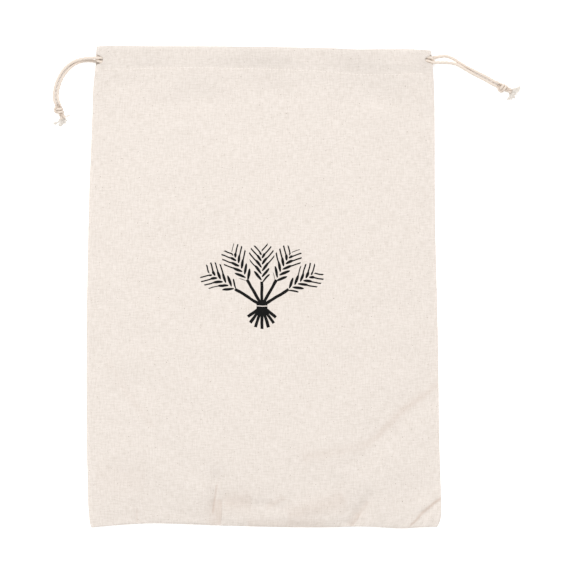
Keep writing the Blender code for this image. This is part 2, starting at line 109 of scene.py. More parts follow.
# Columns of the cloth, and its threads, are counted along the bag's foot.
FOOT_LEFT = SIDES[0].left
FOOT_WIDTH = SIDES[0].right - FOOT_LEFT
Fold = namedtuple("Fold", "x0 y0 x1 y1 width depth")
FOLDS = [Fold(*row) for row in (
    (147, -174, 121, -199, 7, 1.6),           # corner crease
    (146, -189, 134, -198, 7, -0.8),          # corner puff
    (-39, -160, -43, -199, 6.5, 2.2),         # seam pleat
    (-56, -168, -60, -197, 9, -1.2),          # pleat ridge
    (-33, -174, 4, -179, 9, 1.5),             # pleat hollow
    (-107, -183, -105, -198, 7, 1),           # seam dent
    (87, -176, 74, -199, 8, 1.4),             # seam trough
    (20, -190, 56, -184, 12, -1),             # seam swell
    (139, -80, 92, -122, 14, 1.5),            # long fold top
    (92, -122, 64, -158, 15, 1.3),            # long fold foot
    (-112, 60, -118, -60, 22, -1),            # side swell
    (-96, 174, -128, 168, 10, 1),             # hem draw
)]
PairRow = namedtuple("PairRow", "x y half_gap upper_z lower_z")
LEFT_PAIR = [PairRow(*row) for row in (
    (-139.6, 188.8, 1.40, 9.3, 2.45),
    (-146.0, 188.9, 1.00, 7.0, 2.10),
    (-152.0, 188.0, 1.05, 5.0, 1.60),
    (-157.6, 185.8, 1.15, 3.1, 1.35),
    (-162.6, 182.0, 1.35, 1.8, 1.35),
    (-166.8, 177.0, 1.38, 1.35, 1.35),
    (-169.9, 171.2, 1.40, 1.35, 1.35),
    (-171.9, 164.9, 1.40, 1.35, 1.35),
    (-172.7, 159.4, 1.40, 1.35, 1.35),
    (-172.4, 155.6, 1.40, 1.45, 1.45),
    (-171.2, 152.4, 1.40, 1.60, 1.60),
)]
RIGHT_PAIR = [PairRow(*row) for row in (
    (140.2, 188.3, 1.90, 2.45, 8.6),
    (146.0, 188.8, 2.50, 2.00, 7.2),
    (151.0, 188.9, 2.70, 1.60, 5.6),
    (156.5, 187.7, 1.95, 1.40, 4.2),
    (161.8, 185.3, 1.15, 1.35, 3.7),
    (167.2, 182.1, 1.10, 1.35, 3.2),
    (172.8, 179.0, 1.30, 1.35, 2.2),
    (178.6, 176.0, 1.40, 1.35, 1.35),
    (184.6, 173.0, 1.40, 1.35, 1.35),
    (189.8, 170.0, 1.40, 1.45, 1.45),
    (193.4, 168.3, 1.40, 1.60, 1.60),
)]
CASING_STATIONS = [-122.0, -100.0, -70.0, -35.0, 0.0, 35.0, 70.0, 100.0, 122.0]

# ---- Cloth as it looks ----
LINEN_SHEET = 0.8        # thickness of the cloth that shows
SEAM_FRONT = 1.28        # where the front's rolled edge meets the back's
SEAM_BACK = 1.08
ROLL = 1.7               # width of a rolled edge
HEM_ROLL_DROP = 1.1      # how far the open ends of the casings roll down
BACK_ROLL_RISE = 0.1
TURNED_IN_DROP = 0.3
SEAM_BLEND = 7.0         # distance below the hem over which the side seam closes
NOTCH_FADE = 34.0        # how far in from the side seam the notch draws the cloth
Notch = namedtuple("Notch", "size depth reach")
OUTER_NOTCHES = (Notch(6.0, 11.4, 4.6), Notch(5.6, 7.9, 3.6))
INNER_NOTCHES = (Notch(4.6, 11.1, 6.6), Notch(2.8, 9.5, 6.6))
NOTCH_ROUNDNESS = 3.0
CORD_SWELL = 1.07        # crest of a soft cord's plies, as a share of its nominal radius
PLY_TURN = 11.5          # length of one turn of a cord's plies
CORD_SIDES = 18
CORD_STEP = 0.6          # between the rings of a cord's mesh
SAME_STRETCH = 12        # rings of the cord on each side of a point that aren't another stretch
CREVICE = 0.55           # distance from another stretch of cord over which its shade fades
# Colour of the painted shade where one stretch of cord touches another.
CREVICE_COLOR = (0.25, 0.155, 0.095)
CREVICE_MIX = 0.85       # share of that colour where two stretches touch
# Share of that shade which shows, by distance from the bag's middle line: there is less inside a casing.
CREVICE_IN_CASING = ([142.0, 149.0], [0.25, 1.0])
STITCH_ABOVE_HEM = 0.3
FRONT_PITCH = 1.7        # between the grid lines of the front's mesh
BACK_PITCH = 2.6
ROW_PITCH = 1.06         # between rows, as a share of that between columns
ROWS_SPAN = 380.0        # length over which the body's rows are counted
FOOT_CROWDING = 0.5      # 0 spaces the rows evenly, 1 crowds them at the bottom seam
HEM_ROWS = 12
BEND_ROWS = 12
TURNED_IN_ROWS = 9
EDGE_STEPS = [0.0, 0.05, 0.17, 0.37, 0.67, 1.05, 1.45, 2.0, 2.9, 4.1, 5.6]

# Fine relief of the cloth.
Bell = namedtuple("Bell", "peak width")
BROAD_RELIEF = 0.22
SMALL_RELIEF = 0.05
SIDE_PUCKER = Bell(0.16, 6.0)
FOOT_PUCKER = Bell(0.26, 7.0)
HEM_PUCKER = Bell(0.14, 3.6)
STITCH_GROOVE = Bell(0.34, 0.8)
BACK_GROOVE = 0.6        # how deep the back's groove is, as a share of the front's
CORD_RIDGE = Bell(0.16, 1.4)
MOUTH_EASE = 4.0         # depth below the mouth edge over which the relief begins

# A crease runs from its first point to its second. It is a ridge where its rise is positive, and it
# falls away over one width on the left of that run and over another on the right.
Crease = namedtuple("Crease", "x0 y0 x1 y1 left right rise")
CREASES = [Crease(*row) for row in (
    (-39.5, -165.5, -42.2, -184, 1.3, 1.3, -0.45),
    (-45, -174, -47, -198, 7, 9, 1.3),
    (-35, -180, -36.2, -198, 2.6, 9, -0.8),
    (-33, -170, -6, -175.5, 11, 5.5, 1.1),
    (-6, -175.5, 1, -178, 8, 2.4, 0.5),
    (16, -174.5, 3, -183.5, 3.4, 7, 0.6),
    (53, -176, 43, -184, 5, 9, 0.45),
    (43, -184, 22, -190, 4.5, 9, 0.4),
    (2, -193.6, 74, -192.6, 8, 3.2, 0.9),
    (-20, -194, 2, -193.6, 8, 3, 0.5),
    (87.5, -178, 79.8, -188, 3, 8, -0.8),
    (79.8, -188, 74.3, -198, 3, 8, -1),
    (146.5, -173.5, 134, -182.5, 3.4, 8, 1),
    (134, -182.5, 124, -194.5, 3.4, 8, 1),
    (143, -186, 135, -195, 5, 4, 0.7),
    (-105.6, -186.5, -105.6, -195, 2, 2, -0.7),
    (-112, -185, -113, -196, 4, 6, 0.45),
    (138.8, -80.5, 104.8, -109.6, 7, 15, 0.75),
    (104.8, -109.6, 82.4, -132.8, 7, 15, 0.75),
    (82.4, -132.8, 67.4, -151.9, 7, 15, 0.7),
    (-133, 179, -106, 178.6, 5, 2.6, 0.35),
    (-100, 187, -128, 184.4, 2.4, 4, 0.35),
    (102, 185.5, 128, 183.6, 4, 2.6, 0.3),
    (96, 178, 130, 175.6, 5, 3, 0.25),
)]
# The same, for creases too sharp for the mesh: their rise is bump, and shade is painted shade, how much
# darker they are; a negative shade is painted light.
PressedCrease = namedtuple("PressedCrease", "x0 y0 x1 y1 left right rise shade")
PRESSED_CREASES = [PressedCrease(*row) for row in (
    (-39.4, -165.6, -42.4, -186, 1, 0.7, -0.2, 0.13),
    (-34.9, -178.5, -36, -196.5, 0.5, 9, -0.45, 0.11),
    (-31, -178, -12, -177, 7, 7, 0, 0.075),
    (16, -174.6, 4.6, -181.4, 1.6, 3, -0.15, 0.065),
    (66, -175, 22, -189, 7, 7, 0, 0.065),
    (-12, -196.4, 49, -196.8, 4, 3, 0, 0.055),
    (86.5, -179.3, 80.2, -188.2, 0.8, 3.6, -0.3, 0.07),
    (80.2, -188.2, 74.3, -197.6, 0.8, 5, -0.45, 0.11),
    (146.8, -175.2, 138.4, -181.2, 1.2, 1.3, -0.14, 0.2),
    (138.4, -181.2, 131.3, -187.6, 1.2, 1.3, -0.14, 0.19),
    (131.3, -187.6, 123.3, -196.6, 1.2, 1.4, -0.12, 0.18),
    (146, -179.5, 130.5, -193.5, 2.2, 1.6, 0.2, -0.035),
    (26.8, 190.2, 32.6, 189.2, 1, 0.8, 0.14, -0.02),
    (32.6, 189.2, 38.1, 185.8, 1, 0.8, 0.14, -0.02),
    (-105.6, -186.8, -105.6, -194.4, 0.8, 0.8, -0.2, 0.07),
    (146, -80, 133, -89.6, 2, 2.6, 0, 0.07),
    (133, -89.6, 114.3, -102.6, 2.6, 3.4, 0, 0.085),
    (114.3, -102.6, 95.7, -122.5, 2.6, 3.4, 0, 0.075),
    (95.7, -122.5, 85, -131, 3, 3.6, 0, 0.055),
    (85, -131, 34, -140.5, 4, 5, 0, 0.042),
    (-128.4, -62.3, -116, -83.8, 2.6, 2.6, 0, 0.025),
    (-116, -83.8, -93.6, -113.7, 2.6, 3, 0, 0.028),
    (-138, -156, -100, -160, 14, 14, 0, 0.022),
    (97.5, -138, 97.7, -153, 0.45, 0.45, 0.1, -0.06),
)]
CREASE_FADE = 2.0        # distance beyond its ends over which a pressed crease fades
JOINT_TRIM = 1.66        # taken off where one runs on into the next, so that the two don't add up

# How much darker or lighter the cloth is: painted shade and painted light in place of the light on the mouth
# edge, the hem and the slope below it. By the hem: each depth below the mouth edge, as a share of the hem's
# depth, and its tone.
HEM_TONES = [(0.00, -0.080), (0.12, -0.042), (0.48, -0.050), (0.62, -0.066), (0.86, -0.036), (0.97, 0.016),
             (1.10, 0.000), (1.30, 0.008), (1.70, 0.032), (2.10, 0.026), (2.55, 0.000)]
# How uneven that painted shade and light is.
HEM_UNEVENNESS = 0.3
# Colour of the painted shade in creases.
SHADE_COLOR = (0.42, 0.25, 0.16)
SHADE_MIX = 1.55         # share of that colour in a crease whose shade is 1
# Painted light that makes the rolled side edges lighter: its peak tone and its width.
SIDE_PAINTED_LIGHT = Bell(0.034, 3.0)
TURNED_IN_TONE = 0.24    # light comes through thin cloth, so its turned-in layer is never dark

# ---- Weave and print ----
THREAD_PITCH = 0.58
WEAVE_RELIEF = 0.10      # height of a thread over the gaps between threads
LIGHT_YARN = (0.826, 0.757, 0.702)
DARK_YARN = (0.681, 0.614, 0.553)
FLECK_COLOR = (0.27, 0.21, 0.16)
FLECKS_PER_MM = 0.13
PRINT_TIE = -14.0        # height of the sheaf's tie on the front
PRINT_STEP = 29.0        # angle between two ears, in degrees
STALK_STEP = 17.0        # angle between two stalks below the tie
GRAIN_PITCH = 5.4
GRAIN_SLANT = 1.1
GRAIN_FULLNESS = 2.65
EAR = 26.0
EAR_TIP = 44.0           # from the tie to the tip of the middle ear
HALF_EAR = 6.6           # half widths of an ear, a drawn line and an awn
PEN = 1.25
AWN = 0.60
AWN_REACH = 5.0          # how far the awns stand out beyond the grains
STALK = 19.0             # length of the middle stalk below the tie
HALF_BAND = (4.6, 2.3)
HALF_BAND_GAP = 0.35     # between the two turns of the band
PEN_EDGE = 0.07          # softness of a line's edge
PEN_WANDER = 0.35        # how far the pen strays from its line
INK_COLOR = (0.005, 0.005, 0.005)
INK_RELIEF = 0.15        # thickness of the ink, as a share of the weave's relief

# ---- Camera, and light in metres and watts ----
VIEW_WIDTH = 475.6
VIEW_CENTRE = (18.9, 0.4)
CAMERA_HEIGHT = 1200.0
WORLD_LIGHT = 0.752
KEY_PLACE = (-0.35, 1.6, 3.7)
KEY_SIZE = 2.0
KEY_POWER = 87.0


def hermite(t, start, lead, end, trail):
    """A smooth run from start to end, with its slopes at both."""
    return ((2 * t**3 - 3 * t**2 + 1) * start + (t**3 - 2 * t**2 + t) * lead
            + (3 * t**2 - 2 * t**3) * end + (t**3 - t**2) * trail)


def smooth_table(rows, key, value):
    """A smooth function of one column of a table, read at another column."""
    keys = np.array([getattr(row, key) for row in rows], float)
    values = np.array([getattr(row, value) for row in rows], float)
    slopes = np.gradient(values, keys)

    def read(at):
        at = np.clip(at, keys[0], keys[-1])
        i = np.clip(np.searchsorted(keys, at) - 1, 0, len(keys) - 2)
        span = keys[i + 1] - keys[i]
        t = (at - keys[i]) / span
        return hermite(t, values[i], span * slopes[i], values[i + 1], span * slopes[i + 1])
    return read


left_edge = smooth_table(SIDES, "y", "left")
right_edge = smooth_table(SIDES, "y", "right")
bottom_edge = smooth_table(ENDS, "x", "bottom")
top_edge = smooth_table(ENDS, "x", "top")
hem_depth = smooth_table(ENDS, "x", "hem")


def clamp(value):
    return np.clip(value, 0.0, 1.0)


def smoothstep(value):
    t = clamp(value)
    return t * t * (3.0 - 2.0 * t)


def across(x, y):
    """0 at the left seam and 1 at the right one."""
    return clamp((x - left_edge(y)) / (right_edge(y) - left_edge(y)))


def first_lane(x):
    """How far below the mouth edge the first cord of a casing lies."""
    share = clamp((x - ENDS[0].x) / (ENDS[-1].x - ENDS[0].x))
    return FIRST_LANE_LEFT + (FIRST_LANE_RIGHT - FIRST_LANE_LEFT) * share


def crown(x, y):
    """Flat in the middle of the bag and 0 at its side seams."""
    return 1.0 - np.abs(2.0 * across(x, y) - 1.0) ** 3


def level_depth(x):
    """Depth below the mouth edge down to which a casing has its full height."""
    return first_lane(x) + LANE_STEP + LANE_MARGIN


def casing_gap(x, depth):
    """Height inside a casing, at a depth below the mouth edge."""
    rise = clamp((hem_depth(x) - depth) / (hem_depth(x) - level_depth(x)))
    rounded = (1.0 - CASING_ROUND) * rise + CASING_ROUND * smoothstep(rise)
    return PIECE_GAP + (CASING_GAP - PIECE_GAP) * rounded


def mouth_gap(x, y):
    """Height of the opening between the two hems."""
    return MOUTH_GAP + MOUTH_CROWN * crown(x, y)


def bell(away, shape):
    """A soft ridge, by the distance from its crest."""
    return shape.peak * np.exp(-(away / shape.width) ** 2)


def from_line(x, y, line):
    """How far points of the cloth lie from a line, and a number above 0 for those on its left."""
    run_x, run_y = line.x1 - line.x0, line.y1 - line.y0
    t = clamp(((x - line.x0) * run_x + (y - line.y0) * run_y) / (run_x**2 + run_y**2))
    off_x, off_y = x - line.x0 - t * run_x, y - line.y0 - t * run_y
    return np.hypot(off_x, off_y), off_y * run_x - off_x * run_y


def fold_dip(x, y, fold):
    """Depth of one soft fold."""
    return bell(from_line(x, y, fold)[0], Bell(fold.depth, fold.width))


def crease_rise(x, y, crease):
    """Height of one crease, with its own width on each side."""
    away, leftward = from_line(x, y, crease)
    return bell(away, Bell(crease.rise, np.where(leftward > 0, crease.left, crease.right)))


def hollow_height(x, y):
    """Height inside the bag, between its front and its back."""
    depth = top_edge(x) - y
    below_hem = clamp((depth - hem_depth(x)) / HEM_EASE)
    rise = 1.0 - (1.0 - clamp((y - bottom_edge(x)) / BOTTOM_RISE)) ** 3
    body = BODY_CROWN * crown(x, y) * rise
    at_hem = CLOTH * 2 + PIECE_GAP + mouth_gap(x, y)
    height = body + (at_hem - body) * (1.0 - smoothstep(below_hem))
    dip = sum(fold_dip(x, y, fold) for fold in FOLDS) * smoothstep(below_hem * 2.0)
    return PIECE_GAP + height - np.minimum(dip, DEEPEST_DIP * height)


def waves(seed, count, shortest, longest):
    """A random, smooth unevenness: a function of x and y with a spread of about 1."""
    rng = np.random.default_rng(seed)
    lengths = shortest * (longest / shortest) ** rng.random(count)
    angles = rng.random(count) * 2 * math.pi
    phases = rng.random(count) * 2 * math.pi

    def read(x, y):
        total = 0.0
        for length, angle, phase in zip(lengths, angles, phases):
            total = total + np.sin((x * math.cos(angle) + y * math.sin(angle)) * 2 * math.pi / length + phase)
        return total * math.sqrt(2.0 / count)
    return read


def flat_place(x, y):
    """Where a point of the front lies on its flat cloth."""
    return float(FOOT_LEFT + across(x, y) * FOOT_WIDTH), y + LINEN_SHEET / 2


BROAD_WAVES = waves(seed=11, count=9, shortest=34.0, longest=80.0)
SMALL_WAVES = waves(seed=5, count=14, shortest=9.0, longest=22.0)
SEAM_WAVES = waves(seed=23, count=7, shortest=6.0, longest=15.0)


def roll(distance, width):
    """0 at the very edge of the cloth and 1 where its rolled edge ends, like a quarter circle."""
    return np.sqrt(1.0 - (1.0 - clamp(distance / width)) ** 2)


class Panel:
    """One panel of the bag, as a rule that places any point of its cloth."""

    def __init__(self, is_front):
        self.is_front = is_front

    def outer_height(self, x, y, depth):
        """Middle of the outer layer, over the surface the bag lies on."""
        if not self.is_front:
            return CLOTH / 2 + np.zeros_like(x + depth)
        over_cords = CLOTH * 3.5 + 2 * CASING_GAP + mouth_gap(x, y)
        body = CLOTH * 1.5 + hollow_height(x, y)
        return over_cords + (body - over_cords) * smoothstep((depth - level_depth(x)) / HEM_EASE)

    def inner_height(self, x, y, depth):
        """Middle of the hem's turned-in layer."""
        if not self.is_front:
            return CLOTH * 1.5 + casing_gap(x, depth)
        return self.outer_height(x, y, depth) - CLOTH - casing_gap(x, depth)

    def relief(self, x, y, depth):
        """Fine creases and puckers of the outer layer."""
        from_side = np.minimum(x - left_edge(y), right_edge(y) - x)
        from_bottom = y - bottom_edge(x)
        stitch = depth - hem_depth(x) + STITCH_ABOVE_HEM
        pucker = SEAM_WAVES(x, y)
        groove = bell(stitch, STITCH_GROOVE)
        if not self.is_front:
            return groove * BACK_GROOVE
        raised = BROAD_RELIEF * BROAD_WAVES(x, y) + SMALL_RELIEF * SMALL_WAVES(x, y)
        raised += sum(crease_rise(x, y, crease) for crease in CREASES)
        raised += SIDE_PUCKER.peak * pucker * np.exp(-from_side / SIDE_PUCKER.width)
        raised += FOOT_PUCKER.peak * pucker * np.exp(-from_bottom / FOOT_PUCKER.width)
        raised += pucker * bell(stitch, HEM_PUCKER)
        for lane in (0, 1):
            raised += bell(depth - first_lane(x) - lane * LANE_STEP, CORD_RIDGE)
        return raised * smoothstep((depth - LINEN_SHEET / 2) / MOUTH_EASE) - groove

    def notch(self, depth, x, lift):
        """How far the casing's end is drawn in from the side seam."""
        def drawn(notches):
            size, middle, reach = [np.where(x < 0, left, right) for left, right in zip(*notches)]
            return size * (1.0 - clamp(np.abs(depth - middle) / reach) ** NOTCH_ROUNDNESS)

        inner = drawn(INNER_NOTCHES)
        outer = drawn(OUTER_NOTCHES) if self.is_front else 0.0
        return inner + (outer - inner) * (lift + 1.0) / 2

    def place(self, weight, shift, depth, lift):
        """Middle of the cloth.

        weight and shift say where a column is: a share of the way across plus a distance.
        depth is below the mouth edge, and lift is 1 on the outer layer and -1 on the turned-in one.
        """
        about = FOOT_LEFT + weight * FOOT_WIDTH + shift
        y = top_edge(about) - depth
        low = left_edge(y) + LINEN_SHEET / 2
        high = right_edge(y) - LINEN_SHEET / 2
        x = low + weight * (high - low) + shift
        from_side = np.minimum(x - low, high - x)
        drawn = self.notch(depth, x, lift) * clamp(1.0 - from_side / NOTCH_FADE) ** 1.5
        x = x - np.copysign(drawn, x)
        level = np.maximum(depth, NOSE)
        outer = self.outer_height(x, y, level) + self.relief(x, y, depth)
        inner = self.inner_height(x, y, level)
        side = 1.0 - roll(from_side, ROLL)
        foot = 1.0 - roll(y - bottom_edge(about) - LINEN_SHEET / 2, ROLL)
        below = smoothstep((depth - hem_depth(about)) / SEAM_BLEND)
        seam = SEAM_FRONT if self.is_front else SEAM_BACK
        to_seam = seam - outer
        hem_drop = -HEM_ROLL_DROP if self.is_front else BACK_ROLL_RISE
        outer = outer + side * (hem_drop + (to_seam - hem_drop) * below)
        outer = outer + foot * (seam - outer)
        inner = inner - TURNED_IN_DROP * side
        return x, y, (outer + inner) / 2 + lift * (outer - inner) / 2


FRONT = Panel(is_front=True)
BACK = Panel(is_front=False)


def edge_spacing(length, pitch, both_ends):
    """Weights and shifts of grid lines: crowded at one or both ends and a pitch apart between."""
    steps = np.array(EDGE_STEPS)
    reach = steps[-1]
    inner = int(round((length - reach * (1 + both_ends)) / pitch))
    share = np.arange(1, inner + (0 if both_ends else 1)) / inner
    weight = [np.zeros(len(steps)), share]
    shift = [steps, reach * (1.0 - share * (1 + both_ends))]
    if both_ends:
        weight.append(np.ones(len(steps)))
        shift.append(-steps[::-1])
    return np.concatenate(weight), np.concatenate(shift)


def cloth_grid(panel, pitch):
    """Middle points of a panel's whole sheet, bottom seam to turned-in edge, and their flat places."""
    weight, shift = edge_spacing(FOOT_WIDTH, pitch, True)
    about = FOOT_LEFT + weight * FOOT_WIDTH + shift
    hem = hem_depth(about)
    length = top_edge(about) - hem - bottom_edge(about) - LINEN_SHEET / 2
    row_weight, row_shift = edge_spacing(ROWS_SPAN, pitch * ROW_PITCH, False)
    row_weight = row_weight * (1.0 - FOOT_CROWDING * (1.0 - row_weight))
    rows = [(hem + length * (1.0 - share) - extra, 1.0) for share, extra in zip(row_weight, row_shift)]
    rows += [(hem + (NOSE - hem) * step / HEM_ROWS, 1.0) for step in range(1, HEM_ROWS)]
    for step in range(BEND_ROWS + 1):
        angle = math.pi * (0.5 - step / BEND_ROWS)
        rows.append((NOSE - (NOSE - LINEN_SHEET / 2) * math.cos(angle) + 0.0 * about, math.sin(angle)))
    rows += [(NOSE + (hem - NOSE) * step / TURNED_IN_ROWS, -1.0) for step in range(1, TURNED_IN_ROWS + 1)]
    depth = np.array([row[0] for row in rows])
    lift = np.array([row[1] for row in rows])[:, None] + 0.0 * depth
    x, y, z = panel.place(weight + 0.0 * depth, shift + 0.0 * depth, depth, lift)
    points = np.stack([x, y, z], axis=-1)
    gone = np.linalg.norm(np.diff(points, axis=0), axis=-1)
    along = np.vstack([y[:1], y[:1] + np.cumsum(gone, axis=0)])
    flat = np.stack([about + 0.0 * along, along, np.ones_like(along)], axis=-1)
    from_side = np.minimum(x - left_edge(y), right_edge(y) - x)
    # Painted shade and painted light: the hem's tones, lighter rolled side edges and a lighter turned-in
    # layer.
    tone = np.interp(depth / hem, *zip(*HEM_TONES))
    tone = tone * (1.0 + HEM_UNEVENNESS * BROAD_WAVES(x, y))
    tone += bell(from_side, SIDE_PAINTED_LIGHT)
    return points, flat, tone + TURNED_IN_TONE * clamp(-lift)


def in_scene(name, data):
    made = bpy.data.objects.new(name, data)
    bpy.context.scene.collection.objects.link(made)
    return made


def new_object(name, verts, faces, places, finish, **masks):
    """A mesh object in metres, with the place of each point on its flat cloth or straight yarn."""
    mesh = bpy.data.meshes.new(name)
    mesh.from_pydata((np.asarray(verts) * MM).tolist(), [], [list(map(int, face)) for face in faces])
    attribute = mesh.attributes.new("flat_place", "FLOAT_VECTOR", "POINT")
    attribute.data.foreach_set("vector", np.asarray(places, dtype=np.float32).ravel())
    for mask, values in masks.items():
        kept = mesh.attributes.new(mask, "FLOAT", "POINT")
        kept.data.foreach_set("value", np.asarray(values, dtype=np.float32))
    mesh.update()
    mesh.polygons.foreach_set("use_smooth", [len(face) == 4 for face in faces])
    mesh.materials.append(finish)
    return in_scene(name, mesh)


def sheet_object(name, points, flat, tone, finish):
    """A closed sheet of cloth, half its thickness on each side of its middle points."""
    down = np.gradient(points, axis=0)
    over = np.gradient(points, axis=1)
    normal = np.cross(over, down)
    normal /= np.linalg.norm(normal, axis=-1, keepdims=True)
    rows, columns = points.shape[:2]
    inside = flat * [1.0, 1.0, 0.0]
    verts = np.concatenate([(points + normal * LINEN_SHEET / 2).reshape(-1, 3),
                            (points - normal * LINEN_SHEET / 2).reshape(-1, 3)])
    places = np.concatenate([flat.reshape(-1, 3), inside.reshape(-1, 3)])
    index = np.arange(rows * columns).reshape(rows, columns)
    outer = np.stack([index[:-1, :-1], index[:-1, 1:], index[1:, 1:], index[1:, :-1]], axis=-1).reshape(-1, 4)
    inner = outer[:, ::-1] + rows * columns
    rim = np.concatenate([index[0, :-1], index[:-1, -1], index[-1, :0:-1], index[:0:-1, 0]])
    ahead = np.roll(rim, -1)
    edge = np.stack([rim, rim + rows * columns, ahead + rows * columns, ahead], axis=-1)
    tones = np.concatenate([tone.ravel(), tone.ravel()])
    return new_object(name, verts, np.concatenate([outer, inner, edge]), places, finish, edge_tone=tones)


def smooth_route(points, steps=24):
    """A fine, smooth line through given points (a Catmull-Rom curve)."""
    points = [Vector(p) for p in points]
    ends = [2 * points[0] - points[1]] + points + [2 * points[-1] - points[-2]]
    line = []
    for a, b, c, d in zip(ends, ends[1:], ends[2:], ends[3:]):
        length = (c - b).length
        lead = (c - a) * (length / ((b - a).length + length))
        trail = (d - b) * (length / ((d - c).length + length))
        line += [hermite(step / steps, b, lead, c, trail) for step in range(steps)]
    return line + [points[-1]]


def pair_strands(rows):
    """The two strands of a free pair: the one that leaves nearer the mouth edge, and the other."""
    side = math.copysign(1.0, rows[0].x)
    middles = [Vector((row.x, row.y, 0.0)) for row in rows]
    upper, lower = [], []
    for i, row in enumerate(rows):
        ahead = middles[min(i + 1, len(rows) - 1)] - middles[max(i - 1, 0)]
        ahead.normalize()
        aside = Vector((-ahead.y, ahead.x, 0.0)) * side * row.half_gap
        upper.append(middles[i] + aside + Vector((0.0, 0.0, row.upper_z)))
        lower.append(middles[i] - aside + Vector((0.0, 0.0, row.lower_z)))
    return upper, lower


def lane_point(x, lane, in_front, shift=0.0):
    """Middle of a cord in a casing: lane 0 is the one nearer the mouth edge."""
    depth = first_lane(x) + lane * LANE_STEP + shift
    y = top_edge(x) - depth
    below = FRONT.inner_height(x, y, depth) if in_front else CLOTH / 2
    return Vector((float(x), float(y), float(below + CLOTH / 2 + CASING_GAP / 2)))


def turn_back(turn, front_lane):
    """Half a circle from the front casing to the back one, round the ends of the hems."""
    start = lane_point(turn.x, front_lane, True, turn.front_shift)
    end = lane_point(turn.x, 1 - front_lane, False, turn.back_shift)
    centre, arm = (start + end) / 2, (start - end) / 2
    out = Vector((math.copysign(arm.length, turn.x), 0.0, 0.0))
    angles = [math.pi * step / TURN_STEPS for step in range(TURN_STEPS + 1)]
    return [centre + math.cos(a) * arm + math.sin(a) * out for a in angles]


def drawstring_route(pair, front_lane):
    """Knot to casing, along the front, round the far seam, back along the back and out to the knot."""
    upper, lower = pair_strands(pair)
    exits_left = pair[0].x < 0
    front_end, back_end = (upper, lower) if front_lane == 0 else (lower, upper)
    stations = CASING_STATIONS if exits_left else CASING_STATIONS[::-1]
    way_out, turn = (TURN_LEFT, TURN_RIGHT) if exits_left else (TURN_RIGHT, TURN_LEFT)
    route = list(reversed(front_end))
    back_lane = 1 - front_lane
    way_out_x = way_out.x - math.copysign(WAY_OUT_INSET, way_out.x)
    route += [lane_point(way_out_x, front_lane, True, way_out.front_out)]
    route += [lane_point(x, front_lane, True) for x in stations]
    route += turn_back(turn, front_lane)
    route += [lane_point(x, back_lane, False) for x in stations[::-1]]
    return route + [lane_point(way_out_x, back_lane, False, way_out.back_out)] + back_end


def gone_along(line):
    """Distance along a line at each of its points."""
    return np.concatenate([[0.0], np.cumsum(np.linalg.norm(np.diff(line, axis=0), axis=1))])


def even_points(line, step):
    """Points a step apart along a line."""
    line = np.array([tuple(p) for p in line])
    gone = gone_along(line)
    count = max(int(round(gone[-1] / step)), 2)
    marks = np.linspace(0.0, gone[-1], count + 1)
    return np.stack([np.interp(marks, gone, line[:, axis]) for axis in range(3)], axis=-1)


def lobed(angle):
    """Section of a cord of three plies, as a share of its radius."""
    third = 2 * math.pi / 3
    near = (angle + third / 2) % third - third / 2
    offset, ply = 0.27, 0.73
    return offset * np.cos(near) + np.sqrt(ply**2 - (offset * np.sin(near)) ** 2)


def tube(path, radius, sides, ply_turn=None, crest=None):
    """Points, faces and yarn places of a closed tube.

    ply_turn is the length of one turn of its plies, and crest points to a ply at the tube's start.
    """
    path = np.asarray(path, float)
    radius = np.broadcast_to(radius, len(path))
    ahead = np.gradient(path, axis=0)
    ahead /= np.linalg.norm(ahead, axis=1, keepdims=True)
    across_path = np.cross(ahead[0], [0.0, 0.0, 1.0]) if crest is None else crest
    if np.linalg.norm(across_path) < 0.2:
        across_path = np.cross(ahead[0], [1.0, 0.0, 0.0])
    gone = gone_along(path)
    angles = np.arange(sides) * 2 * math.pi / sides
    verts, places = [], []
    for i, (point, forward) in enumerate(zip(path, ahead)):
        across_path = across_path - forward * np.dot(across_path, forward)
        across_path = across_path / np.linalg.norm(across_path)
        up = np.cross(across_path, forward)
        turned = angles - (gone[i] * 2 * math.pi / ply_turn if ply_turn else 0.0)
        reach = radius[i] * (lobed(turned) if ply_turn else 1.0 + 0.0 * turned)
        verts.append(point + reach[:, None] * (np.cos(angles)[:, None] * across_path
                                               + np.sin(angles)[:, None] * up))
        place = [gone[i] + 0.0 * reach, reach * np.cos(turned), reach * np.sin(turned)]
        places.append(np.stack(place, axis=-1))
    rings = len(path)
    index = np.arange(rings * sides).reshape(rings, sides)
    beside = np.roll(index, -1, axis=1)
    walls = np.stack([index[:-1], beside[:-1], beside[1:], index[1:]], axis=-1).reshape(-1, 4)
    faces = walls.tolist() + [index[0, ::-1].tolist(), index[-1].tolist()]
    return np.concatenate(verts), faces, np.concatenate(places)


def merged(parts):
    """Several tubes as one set of points, faces and yarn places."""
    verts, faces, places = [], [], []
    count = 0
    for part_verts, part_faces, part_places in parts:
        verts.append(part_verts)
        places.append(part_places)
        faces += [[corner + count for corner in face] for face in part_faces]
        count += len(part_verts)
    return np.concatenate(verts), faces, np.concatenate(places)


def crevice_of(verts, path, apart):
    """1 where points touch another stretch of a cord and 0 away from it.

    apart says, for each point and each place along the path, whether that place is another stretch.
    """
    near = np.full(len(verts), np.inf)
    for block in np.array_split(np.arange(len(path)), max(len(path) // 60, 1)):
        away = np.linalg.norm(verts[:, None] - path[None, block], axis=-1)
        near = np.minimum(near, np.where(apart[:, block], away, np.inf).min(axis=1))
    return np.exp(-(np.maximum(near - CORD / 2, 0.0) / CREVICE) ** 2)


